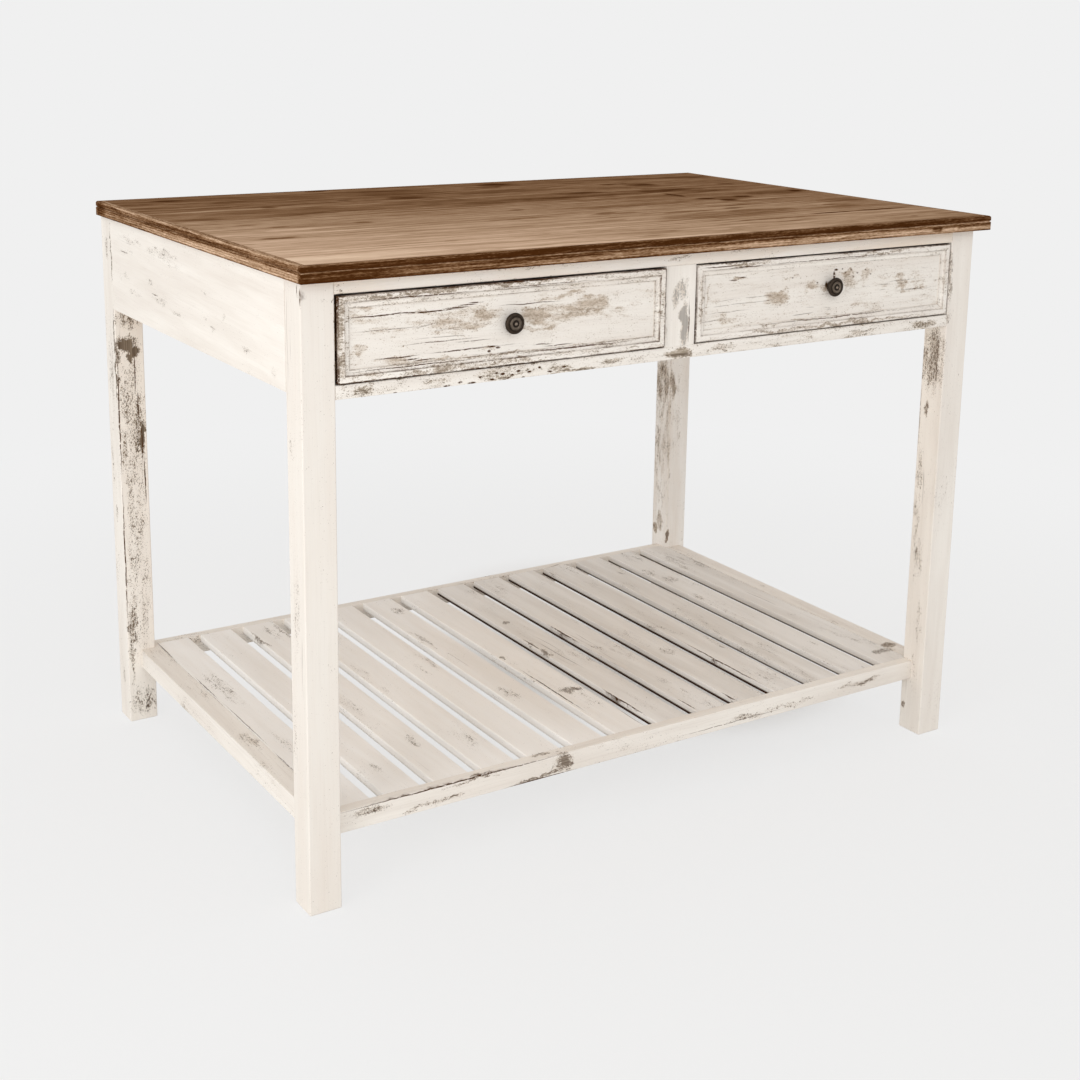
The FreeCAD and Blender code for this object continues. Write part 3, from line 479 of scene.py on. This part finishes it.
def scattered(node, seed, count):
    """Seeded rubs for a piece that has none listed, on whichever faces they happen to fall."""
    rng = random.Random(seed)
    low, high = (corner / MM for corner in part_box(node))
    smallest, largest = 7, 60
    marks = []
    for _ in range(count):
        centre = [rng.uniform(a, b) for a, b in zip(low, high)]
        half = [min(max(s * rng.uniform(0.05, 0.16), smallest), largest) for s in high - low]
        marks.append((centre, half, rng.uniform(0.35, 0.65)))
    return marks


# ---------------- materials
def new_material(name):
    """An empty node material, its tree and the object coordinates in it."""
    material = bpy.data.materials.new(name)
    material.use_nodes = True
    tree = material.node_tree
    tree.nodes.clear()
    return material, tree, add(tree, "TexCoord").outputs["Object"]


def grain_frame(tree, place, node, grain, seed, pith_depth, tilt):
    """Coordinates along the grain of a piece: its pith lies off to a side, slightly askew.

    The seed also moves the piece along the grain, so that no two pieces share a pattern.
    """
    rng = random.Random(seed)
    low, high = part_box(node)
    across = Vector((rng.uniform(-1, 1), rng.uniform(-1, 1), rng.uniform(-1, 1))).normalized()
    pith = (low + high) / 2 + across * pith_depth
    turned = [a + rng.uniform(-tilt, tilt) for a in grain]
    local = add(tree, "Mapping", {"Vector": place, "Location": pith, "Rotation": turned},
                vector_type="TEXTURE")
    step = 3.7
    return add(tree, "VectorMath", {0: local, 1: (seed * step, 0.0, 0.0)}, operation="ADD")


def wobbled(tree, place, scale, amount):
    """Object coordinates pushed about by noise, by so many millimetres in all along each axis."""
    noise = add(tree, "TexNoise", {"Vector": place, "Scale": scale, "Detail": 4.0, "Roughness": 0.62})
    centred = add(tree, "VectorMath", {0: noise.outputs["Color"], 1: MIDDLE}, operation="SUBTRACT")
    return add(tree, "VectorMath", {0: centred, 1: [a * MM for a in amount], 2: place},
               operation="MULTIPLY_ADD")


# soiling and painted shade on a drawer's moulding, from its outer arris over its quirk to its inner foot
MOULDING_DIRT_AND_SHADE = [
    (0.04, "#FFFFFF"), (0.08, "#000000"), (0.4, "#000000"), (0.46, "#DDDDDD"), (0.52, "#606060"),
    (0.6, "#000000"), (0.76, "#000000"), (0.82, "#AAAAAA"), (0.87, "#808080"),
]
MOULDING_DIRT_AND_SHADE_REACH = 20 * MM


def painted_pine(node, grain, seed, age=0.5, worn=0.0, film=0.7, brush=0.2, side=None, below=None,
                 inward=None, dirt_and_shade=0.0, bare="#9C8E80", deep="#6A5C50", paint="#F6F0E8",
                 shade="#EBE3DA"):
    """Matt chalk paint on pine, brushed on and rubbed back.

    It gives the eye a dry, slightly uneven white with brush strokes, crumbled places where
    grey-brown wood shows, thin lines of late wood and rubbed arrises. Worn is a rub all over the
    piece, film how much the paint thins round a rub, and the setting for mouldings how much soiling
    lies in a moulding's arris, quirk and foot, together with painted shade there. The side setting
    says how dark the painted shade is on faces square to X and to Z, where the gaps between parts
    lie in shade. Below is the height under which it lies and inward how far it reaches in from the
    front, both in millimetres.
    """
    material, tree, place = new_material("chalk_painted_pine_" + node)
    grain_vector = grain_frame(tree, place, node, grain, seed, pith_depth=60 * MM, tilt=0.035)
    loose = wobbled(tree, place, 38.0, (26, 26, 26))
    tight = wobbled(tree, place, 24.0, (5, 5, 5))
    # an arris is where the surface normal turns within 2.5 mm
    flat = add(tree, "NewGeometry")
    rounded = add(tree, "Bevel", {"Radius": 2.5 * MM}, samples=4)
    turn = add(tree, "VectorMath", {0: rounded, 1: flat.outputs["Normal"]}, operation="DOT_PRODUCT")
    arris = add(tree, "MapRange", {"Value": turn, "From Min": 0.995, "From Max": 0.85, "To Max": 0.6})
    # painted shade on faces square to X and to Z, for the shade in the gaps between parts; below and inward
    # keep it low down and near the front
    painted_shade = 0.0
    if side:
        facing = add(tree, "VectorMath", {0: flat.outputs["True Normal"]}, operation="ABSOLUTE")
        painted_shade = add(tree, "VectorMath", {0: facing, 1: (side[0], 0.0, side[1])}, operation="DOT_PRODUCT")
    if below:
        spot = add(tree, "SeparateXYZ", {0: place})
        lower = add(tree, "MapRange", {"Value": spot.outputs["Z"], "From Min": below * MM,
                                       "From Max": (below - 2.5) * MM})
        painted_shade = add(tree, "Math", {0: painted_shade, 1: lower}, operation="MULTIPLY")
    if inward:
        spot = add(tree, "SeparateXYZ", {0: loose})
        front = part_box(node)[0].y
        outer = add(tree, "MapRange", {"Value": spot.outputs["Y"], "From Min": front + 2 * inward * MM,
                                       "From Max": front + inward * MM, "To Min": 0.12})
        painted_shade = add(tree, "Math", {0: painted_shade, 1: outer}, operation="MULTIPLY")
    cracks_and_shade = mark_field(tree, tight, near(node, CRACKS_AND_QUIRK_SHADE))
    # lines of soiling and painted shade along a moulding's outer arris, its quirk and its inner foot
    if dirt_and_shade:
        uneven = add(tree, "TexNoise", {"Vector": grain_vector, "Scale": 14.0, "Detail": 4.0})
        dirt_and_shade_level = add(tree, "MapRange", {"Value": uneven, "From Min": 0.35, "From Max": 0.62,
                                         "To Min": 0.15 * dirt_and_shade, "To Max": dirt_and_shade})
        inset = edge_distance(tree, wobbled(tree, place, 70.0, (1.6, 0.0, 1.6)), node)
        across = add(tree, "Math", {0: inset, 1: MOULDING_DIRT_AND_SHADE_REACH}, operation="DIVIDE")
        profile = add(tree, "ValToRGB", {"Fac": across}, stops=MOULDING_DIRT_AND_SHADE)
        profile = add(tree, "Math", {0: profile, 1: dirt_and_shade_level}, operation="MULTIPLY")
        cracks_and_shade = add(tree, "Math", {0: profile, 1: cracks_and_shade}, operation="MAXIMUM")
    layer = add(tree, "Group", {
        "Grain": grain_vector, "Edge": arris, "Age": age, "Side": painted_shade, "Crack and shade": cracks_and_shade,
        "Rub": mark_field(tree, loose, near(node, RUBS) or scattered(node, seed, count=3), worn),
        "Lines": mark_field(tree, loose, near(node, LINES)), "Film": film, "Brush": brush,
        "Paint": paint, "Shade": shade, "Bare": bare, "Deep": deep,
    }, node_tree=WORN_PAINT)
    bump = add(tree, "Bump", {"Height": layer.outputs["Height"], "Distance": 0.25 * MM, "Strength": 0.6})
    shader = add(tree, "BsdfPrincipled", {
        "Base Color": layer.outputs["Color"], "Roughness": layer.outputs["Roughness"], "Normal": bump,
        "IOR": 1.46, "Specular IOR Level": 0.08,
    })
    add(tree, "OutputMaterial", {"Surface": shader})
    return material


# the colours of stained pine, from rubbed bare to black-brown
PINE_STAIN = [
    (0.02, "#EFD1B4"), (0.22, "#D0AF93"), (0.42, "#B09073"),
    (0.6, "#8D6B4E"), (0.78, "#69482D"), (0.98, "#46260E"),
]
# streaks of stain in a board, and in the planed edge strips: length and width in millimetres, and
# how much each changes the depth of the stain
BOARD_STREAKS = ((310, 31, 0.44), (90, 6, 0.46), (30, 1.9, 0.52))
EDGE_STREAKS = ((420, 14, 0.6), (260, 3.2, 0.85), (34, 1.2, 1.1), (7, 1.2, 1.1))


def stained_pine(node, grain, seed, base, streaks=BOARD_STREAKS, pale=0.0, **marks):
    """Pine stained mid brown and rubbed back until it is matt.

    It gives the eye soft dark streaks along the grain, knots, and places worn lighter. Base is how
    dark the stain is, from 0 to 1. Streaks is one of the two lists above, and pale is how much
    lighter the front left corner is, worn and with a painted sheen. Marks may hold stains, knots,
    lines and light places, the last being worn places and painted highlights.
    """
    material, tree, place = new_material("stained_rubbed_pine_" + node)
    grain_vector = grain_frame(tree, place, node, grain, seed, pith_depth=120 * MM, tilt=0.02)
    loose = wobbled(tree, place, 15.0, (110, 24, 8))
    tight = wobbled(tree, place, 30.0, (24, 8, 3))
    wood = add(tree, "Group", {"Vector": grain_vector, "Ring width": 15 * MM, "Waviness": 60 * MM},
               node_tree=TIMBER)
    depth = add(tree, "Math", {0: wood.outputs["Rings"], 1: 0.2, 2: base}, operation="MULTIPLY_ADD")
    for length, width, share in streaks:
        stretch = (1 / (length * MM), 1 / (width * MM), 1 / (width * MM))
        along = add(tree, "VectorMath", {0: grain_vector, 1: stretch}, operation="MULTIPLY")
        streak = add(tree, "TexNoise", {"Vector": along, "Scale": 1.0, "Detail": 4.0, "Roughness": 0.62})
        centred = add(tree, "Math", {0: streak, 1: -0.5}, operation="ADD")
        depth = add(tree, "Math", {0: centred, 1: share, 2: depth}, operation="MULTIPLY_ADD")
    # marks deepen the stain or, the light ones, lighten it: worn places, and a painted highlight on the
    # front edge
    for name, vector, change in (("stains", loose, 0.24), ("knots", tight, 0.34), ("lines", tight, 0.22),
                                 ("light", tight, -0.17)):
        field = mark_field(tree, vector, near(node, marks.get(name, ())))
        depth = add(tree, "Math", {0: field, 1: change, 2: depth}, operation="MULTIPLY_ADD")
    # the pale corner, wear with a painted sheen, fades out towards the back, and by two thirds towards the
    # right
    spot = add(tree, "SeparateXYZ", {0: place})
    to_back = add(tree, "MapRange", {"Value": spot.outputs["Y"], "From Min": -0.4, "From Max": 0.34,
                                     "To Min": pale, "To Max": 0.0}, **SMOOTH)
    to_right = add(tree, "MapRange", {"Value": spot.outputs["X"], "From Min": -0.6, "From Max": 0.6,
                                      "To Min": -1.0, "To Max": -0.35})
    depth = add(tree, "Math", {0: to_back, 1: to_right, 2: depth}, operation="MULTIPLY_ADD")
    colour = add(tree, "ValToRGB", {"Fac": depth}, stops=PINE_STAIN)
    # the finest streaks also roughen the surface
    bump = add(tree, "Bump", {"Height": streak, "Distance": 0.4 * MM, "Strength": 0.5})
    rough = add(tree, "MapRange", {"Value": streak, "From Min": 0.3, "From Max": 0.7,
                                   "To Min": 0.6, "To Max": 0.76})
    shader = add(tree, "BsdfPrincipled", {
        "Base Color": colour, "Roughness": rough, "Normal": bump, "IOR": 1.5, "Specular IOR Level": 0.0,
    })
    add(tree, "OutputMaterial", {"Surface": shader})
    return material


def clean_pine(node, grain, seed):
    """Planed, unfinished pine inside the carcase: pale straw early wood and darker late wood."""
    material, tree, place = new_material("planed_bare_pine_" + node)
    grain_vector = grain_frame(tree, place, node, grain, seed, pith_depth=90 * MM, tilt=0.03)
    wood = add(tree, "Group", {"Vector": grain_vector, "Ring width": 5 * MM, "Waviness": 30 * MM},
               node_tree=TIMBER)
    rings = add(tree, "Math", {0: wood.outputs["Rings"], 1: 0.75}, operation="MULTIPLY")
    colour = add(tree, "Mix", {"Factor": rings, "A": "#E3C496", "B": "#B98A54"}, **COLOURS)
    fibre = add(tree, "MapRange", {"Value": wood.outputs["Fibres"], "From Min": 0.45, "From Max": 0.75,
                                   "To Max": 0.35})
    colour = add(tree, "Mix", {"Factor": fibre, "A": colour, "B": "#C29A66"}, **COLOURS)
    tone = add(tree, "MapRange", {"Value": wood.outputs["Tone"], "From Min": 0.4, "From Max": 0.7,
                                  "To Max": 0.3})
    colour = add(tree, "Mix", {"Factor": tone, "A": colour, "B": "#CFAE80"}, **COLOURS)
    bump = add(tree, "Bump", {"Height": wood.outputs["Fibres"], "Distance": 0.15 * MM, "Strength": 0.5})
    shader = add(tree, "BsdfPrincipled", {
        "Base Color": colour, "Roughness": 0.62, "Normal": bump, "IOR": 1.5, "Specular IOR Level": 0.3,
    })
    add(tree, "OutputMaterial", {"Surface": shader})
    return material


# a turned knob from its middle to just past its rim: dome, groove, raised ring, groove and rim.
# The pale dome and raised ring are polished by fingers and carry painted highlights as well.
TURNED = [
    (0.0, "#9A8C7E"), (0.14, "#85776A"), (0.19, "#261E18"), (0.29, "#2C241D"), (0.34, "#7D7063"),
    (0.55, "#6B5F53"), (0.6, "#30271F"), (0.72, "#463B31"), (1.0, "#3A3028"),
]
TURNED_REACH = 16 * MM


def dark_bronze(node):
    """Oil-rubbed bronze: nearly black brown where the oil stays, warmer where polished, paler on painted
    highlights.
    """
    material, tree, place = new_material("oil_rubbed_bronze_" + node)
    low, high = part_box(node)
    offset = add(tree, "VectorMath", {0: place, 1: (low + high) / 2}, operation="SUBTRACT")
    across = add(tree, "VectorMath", {0: offset, 1: (1.0, 0.0, 1.0)}, operation="MULTIPLY")
    radius = add(tree, "VectorMath", {0: across}, operation="LENGTH")
    reach = add(tree, "Math", {0: radius, 1: TURNED_REACH}, operation="DIVIDE")
    patina_and_highlights = add(tree, "ValToRGB", {"Fac": reach}, stops=TURNED)
    # smears of oil about 4 mm across, and a fine tarnish of 0.7 mm
    smears = add(tree, "TexNoise", {"Vector": place, "Scale": 240.0, "Detail": 3.0})
    tarnish = add(tree, "TexNoise", {"Vector": place, "Scale": 1400.0, "Detail": 2.0})
    oily = add(tree, "MapRange", {"Value": smears, "From Min": 0.4, "From Max": 0.68, "To Max": 0.55})
    colour = add(tree, "Mix", {"Factor": oily, "A": patina_and_highlights, "B": "#2E261F"}, **COLOURS)
    speck = add(tree, "MapRange", {"Value": tarnish, "From Min": 0.5, "From Max": 0.8, "To Max": 0.5})
    colour = add(tree, "Mix", {"Factor": speck, "A": colour, "B": "#1D1814"}, **COLOURS)
    rough = add(tree, "MapRange", {"Value": smears, "From Min": 0.3, "From Max": 0.7,
                                   "To Min": 0.34, "To Max": 0.52})
    bump = add(tree, "Bump", {"Height": tarnish, "Distance": 0.08 * MM, "Strength": 0.4})
    shader = add(tree, "BsdfPrincipled", {
        "Base Color": colour, "Roughness": rough, "Normal": bump, "Metallic": 0.85,
    })
    add(tree, "OutputMaterial", {"Surface": shader})
    return material


def zinc_steel():
    """Zinc-plated steel: a bright grey screw with a faint mottled bloom."""
    material, tree, place = new_material("zinc_plated_steel")
    bloom = add(tree, "TexNoise", {"Vector": place, "Scale": 700.0, "Detail": 3.0})
    colour = add(tree, "ValToRGB", {"Fac": bloom}, stops=[(0.35, "#9FA3A6"), (0.65, "#C9CCCD")])
    rough = add(tree, "MapRange", {"Value": bloom, "From Min": 0.3, "From Max": 0.7,
                                   "To Min": 0.28, "To Max": 0.42})
    shader = add(tree, "BsdfPrincipled", {"Base Color": colour, "Roughness": rough, "Metallic": 1.0})
    add(tree, "OutputMaterial", {"Surface": shader})
    return material


def wear(node, material):
    """Puts a material on a CAD node."""
    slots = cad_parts[node].data.materials
    slots.clear()
    slots.append(material)


# ---------------- which piece gets what
# the first seed of each kind of piece
PAINTED_SEED, BOARD_SEED, LIPPING_SEED, BARE_SEED = 1, 41, 51, 60

# drawer fronts: painted shade on their side, top and bottom edges, darkest near the front, for the shade in
# the gaps round them
DRAWER_FRONT = dict(grain=X_GRAIN, age=0.5, side=(1.0, 0.9), inward=7, bare="#C4B4A3", deep="#9A8A79",
                    paint="#F2ECE4")
MOULDING = dict(grain=X_GRAIN, bare="#B0A292", deep="#867869")
PAINTED = {
    "leg_front_left": dict(grain=Z_GRAIN, age=0.15, film=0.3, brush=0.12, paint="#EEE8E0"),
    "leg_front_right": dict(grain=Z_GRAIN, age=0.3, film=0.5, brush=0.08),
    "leg_back_left": dict(grain=Z_GRAIN, age=0.4, film=0.25, brush=0.1, bare="#857665", deep="#54463A"),
    "leg_back_right": dict(grain=Z_GRAIN, age=0.4, film=1.1, brush=0.1, paint="#F8F4EF"),
    "drawer_divider": dict(grain=Z_GRAIN, age=0.3, bare="#BDB7B0", deep="#A79F97"),
    "front_rail_top": dict(grain=X_GRAIN, age=0.3, shade="#ECDDCB", brush=0.1),
    "front_rail_bottom": dict(grain=X_GRAIN, age=0.6, worn=0.2, bare="#B5A795", deep="#605244"),
    "apron_back": dict(grain=X_GRAIN, age=0.7),
    "apron_left": dict(grain=Y_GRAIN, age=0.2, film=0.3, brush=0.12, bare="#B5ADA4", deep="#8A8177"),
    "apron_right": dict(grain=Y_GRAIN, age=0.6),
    "shelf_rail_front": dict(grain=X_GRAIN, age=0.4, film=0.6),
    "shelf_rail_back": dict(grain=X_GRAIN, age=0.7),
    "shelf_rail_left": dict(grain=Y_GRAIN, age=0.5),
    "shelf_rail_right": dict(grain=Y_GRAIN, age=0.7),
    "left_drawer_front": dict(DRAWER_FRONT, film=1.3, worn=0.16),
    "right_drawer_front": dict(DRAWER_FRONT, film=1.2, worn=0.17),
    "left_drawer_moulding": dict(MOULDING, age=0.6, worn=0.3, dirt_and_shade=0.85),
    "right_drawer_moulding": dict(MOULDING, age=0.5, worn=0.18, dirt_and_shade=0.6),
}
# the slats are numbered from the left. The first seven are painted whiter and the others greyer,
# as painted light and shade across the shelf. Low down on their sides lies painted shade for the
# shade between them, faint on the first seven and, on the others, higher in the middle of the shelf
# than at its right end.
SLATS_PAINTED_LIT, MIDDLE_SLATS, SLATS = 7, 11, 14
for number in range(1, SLATS + 1):
    if number <= SLATS_PAINTED_LIT:
        look = dict(side=(0.2, 0.0), below=119.5, paint="#FEFBF7", shade="#F6F1EB")
    else:
        height = 121.6 if number <= MIDDLE_SLATS else 119.7
        look = dict(side=(1.0, 0.0), below=height, paint="#F2EEE9", shade="#E3DDD6")
    PAINTED["shelf_slat_%02d" % number] = dict(
        look, grain=Y_GRAIN, age=0.35 + 0.03 * number, film=0.2, brush=0.05, bare="#B0A79E", deep="#7F756B",
    )

for seed, (node, look) in enumerate(PAINTED.items(), PAINTED_SEED):
    wear(node, painted_pine(node, seed=seed, **look))

for number in range(4):
    board = "top_board_%d" % (number + 1)
    wear(board, stained_pine(board, X_GRAIN, BOARD_SEED + number, base=0.615, pale=0.46, stains=STAINS,
                             knots=KNOTS, lines=TOP_LINES, light=WORN_LIGHT))

# half the length of a line that runs right along an edge
LONG = 3000
LIPPINGS = {
    "top_lipping_front": dict(
        grain=X_GRAIN, base=0.66,
        knots=on_plane(FRONT_EDGE, [
            (0, 895.5, LONG, 5, 0.9), (-580, 884, 120, 10, 0.8), (490, 884, 12, 5, 1),
        ]),
        lines=on_plane(FRONT_EDGE, [
            (0, 878, LONG, 1.5, 1), (0, 888.5, LONG, 1.2, 0.6), (-300, 886, 160, 2, 0.8),
        ]),
        # lighter: worn places low on the front edge, and a painted highlight along the arris at 890.6 mm
        light=on_plane(FRONT_EDGE, [
            (190, 882, 520, 5, 1.5), (470, 881, 200, 5, 2.2), (0, 890.6, LONG, 0.9, 1.6),
            (-200, 880, 200, 2, 1),
        ]),
    ),
    "top_lipping_back": dict(grain=X_GRAIN, base=0.72),
    "top_lipping_left": dict(
        grain=Y_GRAIN, base=0.53,
        knots=on_plane(LEFT_EDGE, [
            (60, 894, 420, 4, 0.45), (385, 888, 30, 12, 0.9), (300, 893, 60, 5, 0.5),
        ]),
        lines=on_plane(LEFT_EDGE, [
            (0, 888.6, LONG, 0.9, 1), (0, 885, LONG, 0.7, 0.9), (0, 881.6, LONG, 0.7, 1),
            (0, 877.6, LONG, 1, 1.2),
        ]),
        light=on_plane(LEFT_EDGE, [
            (-150, 883, 500, 6, 1.5), (0, 898.6, LONG, 1.4, 1.2), (250, 883, 200, 4, 0.8),
        ]),
    ),
    "top_lipping_right": dict(grain=Y_GRAIN, base=0.6),
}
for seed, (node, look) in enumerate(LIPPINGS.items(), LIPPING_SEED):
    wear(node, stained_pine(node, seed=seed, streaks=EDGE_STREAKS, **look))

BARE = {"drawer_stops": Y_GRAIN}
for side in ("left", "centre", "right"):
    BARE["drawer_runner_" + side] = Y_GRAIN
    BARE["drawer_kicker_" + side] = Y_GRAIN
for drawer in ("left_drawer_", "right_drawer_"):
    BARE[drawer + "side_left"] = BARE[drawer + "side_right"] = Y_GRAIN
    BARE[drawer + "back"] = BARE[drawer + "bottom"] = X_GRAIN
for seed, (node, grain) in enumerate(BARE.items(), BARE_SEED):
    wear(node, clean_pine(node, grain, seed))

ZINC = zinc_steel()
for drawer in ("left_drawer_", "right_drawer_"):
    wear(drawer + "knob", dark_bronze(drawer + "knob"))
    wear(drawer + "knob_screw", ZINC)
wear("top_screws", ZINC)


# ---------------- floor, light and camera
def studio_floor():
    """A pale floor that keeps the table's soft shadow and meets the backdrop without a line."""
    bpy.ops.mesh.primitive_circle_add(vertices=96, radius=12, fill_type="NGON", location=(0, 0, 0))
    floor = bpy.context.object
    floor.name = "studio_floor"
    material, tree, place = new_material("matt_floor_paint")
    shader = add(tree, "BsdfPrincipled", {
        "Base Color": "#F7F6F4", "Roughness": 0.9, "Specular IOR Level": 0.0,
    })
    # near the table a fifth of what is seen is the floor's own shade, and far out only backdrop
    distance = add(tree, "VectorMath", {0: place}, operation="LENGTH")
    away = add(tree, "MapRange", {"Value": distance, "From Min": 0.9, "From Max": 2.2, "To Min": 0.8},
               **SMOOTH)
    # under the right half, away from the window, more of the shade is seen
    offset = add(tree, "VectorMath", {0: place, 1: (0.38, 0.26, 0.0)}, operation="SUBTRACT")
    offset = add(tree, "VectorMath", {0: offset, 1: (0.42, 0.54, 1.0)}, operation="DIVIDE")
    pool = add(tree, "VectorMath", {0: offset}, operation="LENGTH")
    pool = add(tree, "MapRange", {"Value": pool, "From Min": 0.62, "To Min": 0.3}, **SMOOTH)
    away = add(tree, "Math", {0: away, 1: pool}, operation="MULTIPLY")
    path = add(tree, "LightPath")
    seen = add(tree, "Math", {0: path.outputs["Is Camera Ray"], 1: away}, operation="MULTIPLY")
    paper = add(tree, "Emission", {"Color": BACKGROUND})
    both = add(tree, "MixShader", {0: seen, 1: shader, 2: paper})
    add(tree, "OutputMaterial", {"Surface": both})
    floor.data.materials.append(material)


def studio_world():
    """Even white light from all round, seen as the pale backdrop."""
    world = bpy.data.worlds.new("studio")
    bpy.context.scene.world = world
    world.use_nodes = True
    tree = world.node_tree
    tree.nodes.clear()
    path = add(tree, "LightPath")
    seen = add(tree, "Math", {0: path.outputs["Is Camera Ray"], 1: path.outputs["Is Glossy Ray"]},
               operation="MAXIMUM")
    light = add(tree, "Background", {"Color": "#FFFFFF", "Strength": 0.74})
    backdrop = add(tree, "Background", {"Color": BACKGROUND, "Strength": 1.0})
    both = add(tree, "MixShader", {0: seen, 1: light, 2: backdrop})
    add(tree, "OutputWorld", {"Surface": both})


def soft_box(name, place, size, power):
    """A square area light, its side in metres and its power in watts, that looks at the table."""
    lamp = bpy.data.lights.new(name, "AREA")
    lamp.size = size
    lamp.energy = power
    holder = bpy.data.objects.new(name, lamp)
    holder.location = place
    holder.rotation_euler = (Vector((0, 0, 0.5)) - Vector(place)).to_track_quat("-Z", "Y").to_euler()
    bpy.context.scene.collection.objects.link(holder)


def camera():
    """The eye and lens of a standing viewer off the table's front left corner."""
    eye = (-1.4474, -2.2737, 1.2098)
    yaw, pitch, roll = math.radians(32.52), math.radians(-12.43), math.radians(0.84)
    forward = Vector((math.sin(yaw) * math.cos(pitch), math.cos(yaw) * math.cos(pitch), math.sin(pitch)))
    level = Vector((math.cos(yaw), -math.sin(yaw), 0))
    upright = level.cross(forward)
    right = level * math.cos(roll) + upright * math.sin(roll)
    up = upright * math.cos(roll) - level * math.sin(roll)
    lens = bpy.data.cameras.new("camera")
    lens.lens = 55.05
    lens.sensor_width = 36.0
    lens.shift_y = -0.15
    holder = bpy.data.objects.new("camera", lens)
    holder.matrix_world = Matrix.Translation(eye) @ Matrix((right, up, -forward)).transposed().to_4x4()
    bpy.context.scene.collection.objects.link(holder)
    bpy.context.scene.camera = holder


studio_floor()
studio_world()
soft_box("window_left", (-2.9, -1.5, 1.15), size=1.5, power=25)
soft_box("window_front", (-1.6, -3.2, 2.6), size=1.6, power=20)
camera()
bpy.context.scene.view_settings.view_transform = "Standard"
